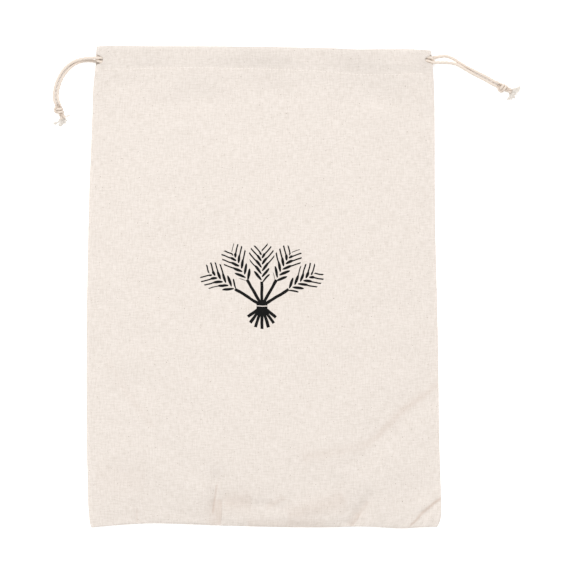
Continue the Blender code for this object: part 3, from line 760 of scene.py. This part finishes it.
# ---- Node trees ----
class Num:
    """A value in a node tree. Arithmetic on it adds math nodes."""

    def __init__(self, socket):
        self.socket = socket
        self.tree = socket.id_data

    def math(self, operation, *others):
        node = self.tree.nodes.new("ShaderNodeMath")
        node.operation = operation
        plug_in(node, self, *others)
        return Num(node.outputs[0])

    __add__ = partialmethod(math, "ADD")
    __sub__ = partialmethod(math, "SUBTRACT")
    __mul__ = partialmethod(math, "MULTIPLY")
    __truediv__ = partialmethod(math, "DIVIDE")
    __abs__ = partialmethod(math, "ABSOLUTE")
    least = partialmethod(math, "MINIMUM")
    most = partialmethod(math, "MAXIMUM")
    less = partialmethod(math, "LESS_THAN")

    def __rsub__(self, other):
        return self * -1.0 + other

    def ramp(self, low, high, out_low=0.0, out_high=1.0):
        """A smooth step between two values, from out_low to out_high."""
        node = self.tree.nodes.new("ShaderNodeMapRange")
        node.interpolation_type = "SMOOTHSTEP"
        plug_in(node, self, low, high, out_low, out_high)
        return Num(node.outputs[0])


def plug(value, slot):
    """Set a socket, from another node's output or from a number or colour."""
    if isinstance(value, Num):
        value = value.socket
    if isinstance(value, bpy.types.NodeSocket):
        slot.id_data.links.new(value, slot)
    else:
        slot.default_value = (*value, 1.0) if slot.type == "RGBA" else value


def plug_in(node, *values):
    """Set a node's first sockets in turn."""
    for slot, value in zip(node.inputs, values):
        plug(value, slot)


def settle(node, **values):
    """Set a node's sockets by name, with _ for each space."""
    for name, value in values.items():
        plug(value, node.inputs[name.replace("_", " ")])


def vector(tree, x, y, z=0.0):
    node = tree.nodes.new("ShaderNodeCombineXYZ")
    plug_in(node, x, y, z)
    return node.outputs[0]


def split(socket):
    node = socket.id_data.nodes.new("ShaderNodeSeparateXYZ")
    plug_in(node, socket)
    return [Num(output) for output in node.outputs]


def noise(place, scale=1.0, detail=0.0, roughness=0.5):
    """Noise round 0, about -1 to 1."""
    node = place.id_data.nodes.new("ShaderNodeTexNoise")
    settle(node, Vector=place, Scale=scale, Detail=detail, Roughness=roughness)
    return (Num(node.outputs["Fac"]) - 0.5) * 2.6


def mix_color(factor, first, second):
    node = factor.tree.nodes.new("ShaderNodeMix")
    node.data_type = "RGBA"
    plug(factor, node.inputs[0])
    plug(first, node.inputs[6])
    plug(second, node.inputs[7])
    return node.outputs[2]


def bright(color, factor):
    """A colour times a factor."""
    node = factor.tree.nodes.new("ShaderNodeVectorMath")
    node.operation = "SCALE"
    plug_in(node, color)
    settle(node, Scale=factor)
    return node.outputs[0]


Socket = namedtuple("Socket", "kind name default", defaults=(None,))
CLOTH_PLACE = Socket("Vector", "Cloth Place")


def node_group(name, inputs, outputs):
    """An empty group with named sockets, and its input and output nodes."""
    group = bpy.data.node_groups.new(name, "ShaderNodeTree")
    for way, sockets in (("INPUT", inputs), ("OUTPUT", outputs)):
        for socket in sockets:
            kind = "NodeSocket" + socket.kind
            made = group.interface.new_socket(name=socket.name, in_out=way, socket_type=kind)
            if socket.default is not None:
                made.default_value = socket.default
    return group, group.nodes.new("NodeGroupInput"), group.nodes.new("NodeGroupOutput")


def linen_group():
    """Plain weave of uneven linen yarn: its colour, the height of its threads, and its roughness."""
    group, given, result = node_group(
        "woven_linen",
        [CLOTH_PLACE, Socket("Float", "Thread Pitch", THREAD_PITCH),
         Socket("Color", "Light Yarn", (*LIGHT_YARN, 1.0)), Socket("Color", "Dark Yarn", (*DARK_YARN, 1.0))],
        [Socket("Color", "Color"), Socket("Float", "Height"), Socket("Float", "Roughness")])
    place = given.outputs["Cloth Place"]
    pitch = Num(given.outputs["Thread Pitch"])
    u, v, _ = split(place)
    drift = noise(place, 0.07, 1.0)
    u = u + drift * 0.5
    v = v - drift * 0.4
    warp = (u * math.pi / pitch).math("SINE")
    weft = (v * math.pi / pitch).math("SINE")
    crossing = warp * weft
    height = ((abs(warp) + crossing) * 0.5).most((abs(weft) - crossing) * 0.5)

    warp_yarn = noise(vector(group, u * 0.9, v * 0.15), 1.0, 1.0)
    weft_yarn = noise(vector(group, u * 0.17, v * 0.9, 9.0), 1.0, 1.0)
    yarn = weft_yarn + (warp_yarn - weft_yarn) * crossing.ramp(-0.25, 0.25)
    mottle = noise(place, 0.75, 2.0, 0.7)
    tone = noise(place, 0.035, 2.0)
    shade = yarn * 1.16 + mottle * 0.28 + tone * 0.10 + 0.22
    color = mix_color(shade.ramp(-0.6, 1.2), given.outputs["Light Yarn"], given.outputs["Dark Yarn"])
    # Painted shade: darker in the gaps between threads.
    color = bright(color, height.ramp(0.0, 0.45, 0.80, 1.0))

    cells = group.nodes.new("ShaderNodeTexVoronoi")
    cells.voronoi_dimensions = "2D"
    frayed = noise(place, 1.9, 1.0) * 0.30
    settle(cells, Vector=vector(group, u + frayed, v - frayed * 0.6), Scale=FLECKS_PER_MM)
    chance, size, _ = split(cells.outputs["Color"])
    reach = (size.math("POWER", 6.0) * 0.018 + 0.036) * chance.ramp(0.45, 0.46)
    fleck = (reach - Num(cells.outputs["Distance"])).ramp(0.0, 0.02, 0.0, 0.75)

    settle(result, Color=mix_color(fleck, color, FLECK_COLOR), Height=height + yarn * 0.20 + mottle * 0.05,
           Roughness=height.ramp(0.0, 1.0, 0.97, 0.84))
    return group


def crease_group():
    """Creases of the front too sharp for its mesh: a height in millimetres, and a painted shade, which is
    painted light below 0.
    """
    group, given, result = node_group(
        "pressed_creases", [CLOTH_PLACE], [Socket("Float", "Height"), Socket("Float", "Shade")])
    u, v, outside = split(given.outputs["Cloth Place"])
    height = shade = outside * 0.0
    joints = {(row.x0, row.y0) for row in PRESSED_CREASES} & {(row.x1, row.y1) for row in PRESSED_CREASES}
    for crease in PRESSED_CREASES:
        (u0, v0), (u1, v1) = flat_place(crease.x0, crease.y0), flat_place(crease.x1, crease.y1)
        length = math.hypot(u1 - u0, v1 - v0)
        run_u, run_v = (u1 - u0) / length, (v1 - v0) / length
        along = (u - u0) * run_u + (v - v0) * run_v
        start = JOINT_TRIM * ((crease.x0, crease.y0) in joints)
        end = length - JOINT_TRIM * ((crease.x1, crease.y1) in joints)
        beyond = along - along.most(start).least(end)
        off = (v - v0) * run_u - (u - u0) * run_v
        width = off.less(0.0) * (crease.right - crease.left) + crease.left
        away = (off / width).math("POWER", 2.0) + (beyond / CREASE_FADE).math("POWER", 2.0)
        near = (away * -1.0).math("EXPONENT") * outside
        height = height + near * crease.rise
        shade = shade + near * crease.shade
    settle(result, Height=height, Shade=shade)
    return group


def sheaf_group():
    """Ink of a bound sheaf of wheat, drawn with a broad pen: a mask on the cloth's flat places."""
    group, given, result = node_group("wheat_sheaf_ink", [CLOTH_PLACE], [Socket("Float", "Mask")])
    place = given.outputs["Cloth Place"]
    u, v, outside = split(place)
    u = u + noise(place, 0.12, 1.0) * PEN_WANDER
    v = v + noise(vector(group, v, u, 5.0), 0.12, 1.0) * PEN_WANDER - PRINT_TIE
    reach = (u * u + v * v).math("SQRT")

    def sector(heading, step, widest):
        """Turn the ears or stalks of a fan onto one axis: along it, off it, and which one it is."""
        number = (heading / math.radians(step)).math("ROUND").most(-widest).least(widest)
        off = heading - number * math.radians(step)
        return reach * off.math("COSINE"), reach * off.math("SINE"), abs(number)

    def inked(room, edge=PEN_EDGE):
        """1 where there is room inside a line and 0 outside it, with a soft edge."""
        return room.ramp(-edge, edge)

    along, off, number = sector(u.math("ARCTAN2", v), PRINT_STEP, 2.0)
    tip = number * 6.0 - number * number * 1.6 + EAR_TIP
    out = abs(off)
    slanted = along - out * GRAIN_SLANT
    ear = (slanted - tip) / EAR + 1.0
    width = (1.0 - ear * ear).most(0.0).math("POWER", 0.55) * HALF_EAR
    half = off.less(0.0) * 0.5
    cell = (slanted / GRAIN_PITCH + half).math("FRACT") - 0.5
    beside = abs(cell) * (GRAIN_PITCH / math.hypot(1.0, GRAIN_SLANT))
    share = out / width.most(0.01)
    profile = (share * (1.0 - share)).most(0.0).math("SQRT") * GRAIN_FULLNESS
    grain = inked(profile - beside - 0.12) * ear.ramp(0.0, 0.02) * (1.0 - ear).ramp(0.0, 0.02)
    awn = inked(AWN - beside) * (width + AWN_REACH - out).ramp(0.0, 0.2)
    awn = awn * share.ramp(0.75, 0.85) * ear.ramp(0.30, 0.34) * (1.12 - ear).ramp(0.0, 0.02)
    stem = inked(PEN - out) * (tip - EAR - along + 2.4).ramp(0.0, 0.1) * along.ramp(0.0, 0.1)

    down, stalk_off, stalk_number = sector(u.math("ARCTAN2", v * -1.0), STALK_STEP, 3.0)
    foot = stalk_number * stalk_number * -0.45 + STALK
    stalk = inked(PEN - abs(stalk_off)) * (foot - down).ramp(0.0, 0.1) * down.ramp(0.0, 0.1)

    band = (HALF_BAND[0] - abs(u)).ramp(0.0, 0.12) * (HALF_BAND[1] - abs(v)).ramp(0.0, 0.12)
    gap = inked(HALF_BAND_GAP - abs(v), 0.05)
    ink = grain.most(awn).most(stem).most(stalk).most(band)
    ink = ink * (1.0 - gap * band)
    worn = noise(place, 1.6, 2.0).ramp(-1.5, -0.75)
    settle(result, Mask=ink * worn * outside.ramp(0.4, 0.6))
    return group


def yarn_group():
    """Soft twisted cotton: fibres along each ply, painted shade in the valleys between plies, and painted
    shade in its crevices.
    """
    group, given, result = node_group(
        "twisted_cotton",
        [Socket("Vector", "Yarn Place"), Socket("Float", "Radius"), Socket("Color", "Crest"),
         Socket("Color", "Valley"), Socket("Float", "Crevice")],
        [Socket("Color", "Color"), Socket("Float", "Height")])
    s, y, z = split(given.outputs["Yarn Place"])
    radius = Num(given.outputs["Radius"])
    reach = (y * y + z * z).math("SQRT") / radius
    fibre = noise(vector(group, s * 0.45, y * 4.5, z * 4.5), 1.0, 2.0, 0.6)
    clump = noise(vector(group, s * 0.22, y * 0.8, z * 0.8), 1.0, 1.0)
    depth = reach.ramp(1.02, 0.70) + fibre * 0.13 + clump * 0.12
    color = mix_color(depth.ramp(-0.1, 1.1), given.outputs["Crest"], given.outputs["Valley"])
    shaded = Num(given.outputs["Crevice"]) * CREVICE_MIX
    settle(result, Color=mix_color(shaded, color, CREVICE_COLOR), Height=fibre)
    return group


LINEN_GROUP = linen_group()
CREASE_GROUP = crease_group()
SHEAF_GROUP = sheaf_group()
YARN_GROUP = yarn_group()


def new_material(name):
    """A material, its node tree and its shader."""
    made = bpy.data.materials.new(name)
    made.use_nodes = True
    return made, made.node_tree, made.node_tree.nodes["Principled BSDF"]


def of_mesh(tree, name, output="Fac"):
    """What a mesh keeps under a name for each of its points."""
    node = tree.nodes.new("ShaderNodeAttribute")
    node.attribute_name = name
    return node.outputs[output]


def use_group(tree, group, **inputs):
    node = tree.nodes.new("ShaderNodeGroup")
    node.node_tree = group
    settle(node, **inputs)
    return node.outputs


def bump(tree, height, distance, strength):
    node = tree.nodes.new("ShaderNodeBump")
    settle(node, Height=height, Distance=distance * MM, Strength=strength)
    return node.outputs[0]


def linen_material(name, printed):
    made, tree, shader = new_material(name)
    place = of_mesh(tree, "flat_place", "Vector")
    weave = use_group(tree, LINEN_GROUP, Cloth_Place=place)
    tone = Num(of_mesh(tree, "edge_tone")) + 1.0
    height = Num(weave["Height"])
    if printed:
        creases = use_group(tree, CREASE_GROUP, Cloth_Place=place)
        # A crease's painted shade mixes the cloth towards SHADE_COLOR; a negative one is painted light that
        # raises its tone.
        shade = Num(creases["Shade"])
        tone = tone - shade.least(0.0)
        ink = Num(use_group(tree, SHEAF_GROUP, Cloth_Place=place)["Mask"])
        cover = ink * height.ramp(0.02, 0.22, 0.94, 1.0)
        cloth = mix_color(shade * SHADE_MIX, bright(weave["Color"], tone), SHADE_COLOR)
        color = mix_color(cover, cloth, INK_COLOR)
        height = height + ink * INK_RELIEF + Num(creases["Height"]) / WEAVE_RELIEF
    else:
        color = bright(weave["Color"], tone)
    settle(shader, Base_Color=color, Roughness=weave["Roughness"], Specular_IOR_Level=0.10, Sheen_Weight=0.05,
           Sheen_Roughness=0.6, Normal=bump(tree, height, WEAVE_RELIEF, 0.75))
    return made


def yarn_material(name, radius, crest, valley, sheen):
    made, tree, shader = new_material(name)
    yarn = use_group(tree, YARN_GROUP, Yarn_Place=of_mesh(tree, "flat_place", "Vector"), Radius=radius,
                     Crest=crest, Valley=valley, Crevice=of_mesh(tree, "crevice"))
    settle(shader, Base_Color=yarn["Color"], Roughness=0.88, Specular_IOR_Level=0.25, Sheen_Weight=sheen,
           Sheen_Roughness=0.5, Normal=bump(tree, yarn["Height"], 0.08, 0.8))
    return made


def floor_material():
    made, tree, shader = new_material("studio_paper")
    grain = noise(tree.nodes.new("ShaderNodeTexCoord").outputs["Object"], 60.0, 2.0)
    settle(shader, Base_Color=mix_color(grain.ramp(-1.0, 1.0), (0.93, 0.93, 0.93), (0.95, 0.95, 0.95)),
           Roughness=0.9, Specular_IOR_Level=0.1, Emission_Color=(1.0, 1.0, 1.0), Emission_Strength=0.36)
    return made


LINEN_FRONT = linen_material("linen_front", True)
LINEN_BACK = linen_material("linen_back", False)
# Each yarn's valley colour is its painted shade between plies.
COTTON = yarn_material("cotton_cord", CORD / 2, (0.78, 0.685, 0.600), (0.56, 0.45, 0.36), 0.12)
FRAYED = yarn_material("frayed_cotton", 0.3, (0.90, 0.87, 0.83), (0.80, 0.75, 0.69), 0.1)
THREAD = yarn_material("sewing_thread", 0.2, (0.89, 0.83, 0.77), (0.79, 0.72, 0.65), 0.1)


# ---- Cords ----
def drawstring(name, pair, front_lane):
    """A cord on its whole route, its path, and each of its tips with the way to the crest of a ply."""
    path = even_points(smooth_route(drawstring_route(pair, front_lane)), CORD_STEP)
    verts, faces, places = tube(path, CORD / 2 * CORD_SWELL, CORD_SIDES, PLY_TURN)
    steps = np.arange(len(path))
    apart = np.abs(np.repeat(steps, CORD_SIDES)[:, None] - steps) > SAME_STRETCH
    tips = [(end, ring[np.linalg.norm(ring - end, axis=1).argmax()] - end)
            for end, ring in ((path[0], verts[:CORD_SIDES]), (path[-1], verts[-CORD_SIDES:]))]
    # Painted shade where the cord touches other stretches of itself, less of it inside a casing.
    crevice = crevice_of(verts, path, apart) * np.interp(np.abs(verts[:, 0]), *CREVICE_IN_CASING)
    return new_object(name, verts, faces, places, COTTON, crevice=crevice), path, tips


# ---- Knots ----
KNOT_STUB = 1.5
KNOT_STRAND = [(-KNOT_STUB - PIECE_GAP, 1.40, 1.6), (0.6, 1.30, 1.9), (3.2, 0.85, 2.5), (7.0, 0.75, 2.5),
               (10.4, 1.00, 2.1), (11.8, 1.15, 1.6)]
KNOT_BIGHT = [(0.5, -0.6, 2.0), (1.0, -2.3, 2.2), (2.2, -3.7, 2.0), (3.8, -3.9, 1.8), (5.0, -2.4, 2.0),
              (5.1, -0.8, 2.4)]
KNOT_STRAND_START = (-KNOT_STUB - PIECE_GAP, 0.0, 1.6)
KNOT_CREVICE = 0.28      # how dark the crevices of a knot are, next to those of a pair of strands
KNOT_SOFTENS = [1.6, 2.6]    # distances from the cord's end between which they become so
WRAP_RING = 1.95
WRAP_HEIGHT = 2.75
WRAP_SQUASH = 0.86
WRAP_START = 1.0
WRAP_LENGTH = 7.0
WRAP_TURNS = 2.8
WRAP_LEAD = 0.15
WRAP_STEPS = 40
TUCK = 0.08              # how far along a half wave the wrap's ends are tucked in
TUCK_POWER = 0.3
KNOT_STEP = 0.4
KNOT_PLY_TURN = 0.75     # as a share of the cord's

# Each frayed strand of a tuft: its heading in degrees, and its length.
LEFT_TUFT = [(-72, 9.2), (-60, 8.8), (-48, 8.6), (-36, 8.8), (-24, 8.0),
             (-11, 7.6), (2, 7.0), (22, 5.8), (84, 5.4)]
RIGHT_TUFT = [(-68, 7.2), (-55, 7.8), (-42, 8.2), (-28, 8.2), (-13, 7.8),
              (2, 7.6), (14, 8.4), (26, 9.4), (39, 9.8)]
TUFT_START = 9.8
TUFT_SPREAD = 0.9
STRAND_SWING = 0.45
FIBRES = 13              # fibres that show for each frayed strand
FIBRE_RADIUS = 0.17
FIBRE_THICKNESSES = (0.8, 1.15)
FIBRE_POINTS = 12
FIBRE_SIDES = 5
FIBRE_LENGTHS = (0.72, 1.08)
FIBRE_STARTS = (0.8, 2.6)
FIBRE_RESTS = (0.16, 0.8)
FIBRE_TAPER = (1.3, 0.8)
LOCK_CURL = 0.13
FIBRE_CURL = 0.11
FIBRE_TURN = 3.0         # in degrees
FIBRE_SHIFT = 0.45
FALL_SHARE = 0.62        # share of a fibre's length over which it comes down to the surface


def laid(points, rows):
    """Points of a knot's own frame, laid where its cord ends."""
    end = np.array([rows[-1].x, rows[-1].y])
    along = end - np.array([rows[-2].x, rows[-2].y])
    along /= np.linalg.norm(along)
    aside = np.array([-along[1], along[0]])
    points = np.asarray(points, float)
    flat = end + along * (KNOT_STUB + PIECE_GAP) + points[:, :1] * along + points[:, 1:2] * aside
    return np.column_stack([flat, points[:, 2]])


def knot_paths():
    """The cord in an overhand knot: two strands in, the turns round them, and a bight."""
    paths = [smooth_route([(x, side * y, z) for x, y, z in KNOT_STRAND]) for side in (-1, 1)]
    wrap = []
    for step in range(WRAP_STEPS + 1):
        t = step / WRAP_STEPS
        angle = -2 * math.pi * (WRAP_TURNS * t - WRAP_LEAD)
        tuck = math.sin(math.pi * (TUCK + (1.0 - 2 * TUCK) * t)) ** TUCK_POWER
        wrap.append((WRAP_START + WRAP_LENGTH * t, WRAP_RING * tuck * math.cos(angle),
                     WRAP_HEIGHT + WRAP_RING * tuck * WRAP_SQUASH * math.sin(angle)))
    return paths + [smooth_route(wrap, 6), smooth_route(KNOT_BIGHT)]


def knot(name, rows, tips):
    """The turns of a knot. Its two strands carry on the plies of the cord's tips."""
    paths = [laid(even_points(path, KNOT_STEP), rows) for path in knot_paths()]
    tubes = []
    for path in paths[:2]:
        crest = min(tips, key=lambda tip: np.linalg.norm(tip[0] - path[0]))[1]
        swell = np.interp(np.linspace(0.0, 1.0, len(path)), [0.0, 0.25, 1.0], [CORD_SWELL, 1.0, 1.0])
        tubes.append(tube(path, CORD / 2 * swell, CORD_SIDES, PLY_TURN, crest))
    tubes += [tube(path, CORD / 2, CORD_SIDES, PLY_TURN * KNOT_PLY_TURN) for path in paths[2:]]
    verts, faces, places = merged(tubes)
    turn = np.concatenate([np.full(len(path), i) for i, path in enumerate(paths)])
    apart = np.repeat(turn, CORD_SIDES)[:, None] != turn
    # Painted shade in the knot's crevices: full near the cord's end and lighter further in.
    from_tip = np.linalg.norm(verts - laid([KNOT_STRAND_START], rows), axis=1)
    softened = np.interp(from_tip, KNOT_SOFTENS, [1.0, KNOT_CREVICE])
    return new_object(name, verts, faces, places, COTTON,
                      crevice=softened * crevice_of(verts, np.concatenate(paths), apart))


def tuft(name, rows, strands, seed):
    """Frayed fibres out of the knot, each lock spread a little, down to the surface and along it."""
    rng = np.random.default_rng(seed)
    parts = []
    for angle, reach in strands:
        lock_curl = rng.normal(0.0, LOCK_CURL)
        for _ in range(FIBRES):
            heading = math.radians(angle + rng.normal(0.0, FIBRE_TURN))
            length = reach * rng.uniform(*FIBRE_LENGTHS)
            curl = lock_curl + rng.normal(0.0, FIBRE_CURL)
            start_z = rng.uniform(*FIBRE_STARTS)
            start_y = rng.normal(0.0, FIBRE_SHIFT) + TUFT_SPREAD * math.sin(heading)
            rest = rng.uniform(*FIBRE_RESTS)
            path = []
            for t in np.linspace(0.0, 1.0, FIBRE_POINTS):
                swing = heading * (1.0 - STRAND_SWING * (1.0 - t)) + curl * t * t
                fall = float(smoothstep(t / FALL_SHARE))
                path.append((TUFT_START + length * t * math.cos(swing),
                             length * t * math.sin(swing) + start_y, start_z + (rest - start_z) * fall))
            radius = FIBRE_RADIUS * rng.uniform(*FIBRE_THICKNESSES) * np.linspace(*FIBRE_TAPER, FIBRE_POINTS)
            parts.append(tube(laid(path, rows), radius, FIBRE_SIDES))
    return new_object(name, *merged(parts), FRAYED)


# ---- Each cord with its knot ----
def stand_for(node, slot, *pieces):
    """Let pieces show in place of a part's solid."""
    for piece in pieces:
        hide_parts(node)
        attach(piece, "root")


left_cord, left_path, left_tips = drawstring("drawstring_left_cord", LEFT_PAIR, 0)
right_cord, right_path, right_tips = drawstring("drawstring_right_cord", RIGHT_PAIR, 1)
left_knot = knot("knot_left_turns", LEFT_PAIR, left_tips)
right_knot = knot("knot_right_turns", RIGHT_PAIR, right_tips)
left_tuft = tuft("knot_left_tuft", LEFT_PAIR, LEFT_TUFT, 3)
right_tuft = tuft("knot_right_tuft", RIGHT_PAIR, RIGHT_TUFT, 4)

for side, cord, path, ties in (("left", left_cord, left_path, [left_knot, left_tuft]),
                               ("right", right_cord, right_path, [right_knot, right_tuft])):
    stand_for(f"drawstring_{side}", "cord", cord)
    stand_for(f"knot_{side}", "cord", *ties)

# ---- Hem stitching ----
STITCH = 2.75
STITCH_SIZES = (0.93, 1.07)
STITCH_GAP = 0.30
STITCH_ROW = (-136.0, 134.0)
STITCH_WANDER = 0.07
STITCH_POINTS = 9
SEWING_RADIUS = 0.24
SEWING_SIDES = 7
STITCH_ARCH = 1.5        # in radii of its thread: how far a stitch rises, and how deep its ends sink
STITCH_SINK = 1.1


def hem_stitches(name, panel, outward):
    """A row of machine stitches that sink into the cloth at both ends.

    outward is 1 where the panel's outer side faces up and -1 where it faces down.
    """
    rng = np.random.default_rng(17)
    parts = []
    start, end = STITCH_ROW
    arch = np.sin(math.pi * np.linspace(0.0, 1.0, STITCH_POINTS))
    while start < end:
        size = STITCH * rng.uniform(*STITCH_SIZES)
        x = start + size * np.linspace(0.0, 1.0, STITCH_POINTS)
        weight = (x - FOOT_LEFT) / FOOT_WIDTH
        depth = hem_depth(x) - STITCH_ABOVE_HEM + rng.normal(0.0, STITCH_WANDER)
        px, py, pz = panel.place(weight, 0.0 * x, depth, 1.0)
        rise = LINEN_SHEET / 2 + SEWING_RADIUS * (STITCH_ARCH * arch ** 0.5 - STITCH_SINK)
        path = np.column_stack([px, py, pz + outward * rise])
        parts.append(tube(path, SEWING_RADIUS * (0.75 + 0.35 * arch), SEWING_SIDES))
        start += size + STITCH_GAP
    return new_object(name, *merged(parts), THREAD)


# ---- Cloth ----
front = sheet_object("front_linen", *cloth_grid(FRONT, FRONT_PITCH), LINEN_FRONT)
back = sheet_object("back_linen", *[grid[:, ::-1] for grid in cloth_grid(BACK, BACK_PITCH)], LINEN_BACK)
stand_for("front_panel", "linen", front)
stand_for("back_panel", "linen", back)
front_stitches = hem_stitches("front_hem_stitching", FRONT, 1.0)
back_stitches = hem_stitches("back_hem_stitching", BACK, -1.0)
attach(front_stitches, "root")
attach(back_stitches, "root")

# ---- Floor, light and camera ----
bpy.ops.mesh.primitive_grid_add(size=8.0, x_subdivisions=8, y_subdivisions=8, location=(0.0, 0.0, -0.0002))
floor = bpy.context.active_object
floor.name = "studio_floor"
floor.data.materials.append(floor_material())

world = bpy.data.worlds.new("studio_world")
world.use_nodes = True
settle(world.node_tree.nodes["Background"], Color=(1.0, 1.0, 1.0), Strength=WORLD_LIGHT)
bpy.context.scene.world = world

key_data = bpy.data.lights.new("key_light", "AREA")
key_data.shape = "DISK"
key_data.size = KEY_SIZE
key_data.energy = KEY_POWER
key_light = in_scene("key_light", key_data)
key_light.location = KEY_PLACE
key_light.rotation_euler = (-Vector(KEY_PLACE)).to_track_quat("-Z", "Y").to_euler()

camera_data = bpy.data.cameras.new("camera")
camera_data.type = "ORTHO"
camera_data.ortho_scale = VIEW_WIDTH * MM
camera_data.clip_end = 20.0
camera = in_scene("camera", camera_data)
camera.location = (VIEW_CENTRE[0] * MM, VIEW_CENTRE[1] * MM, CAMERA_HEIGHT * MM)
bpy.context.scene.camera = camera
bpy.context.scene.view_settings.view_transform = "Standard"
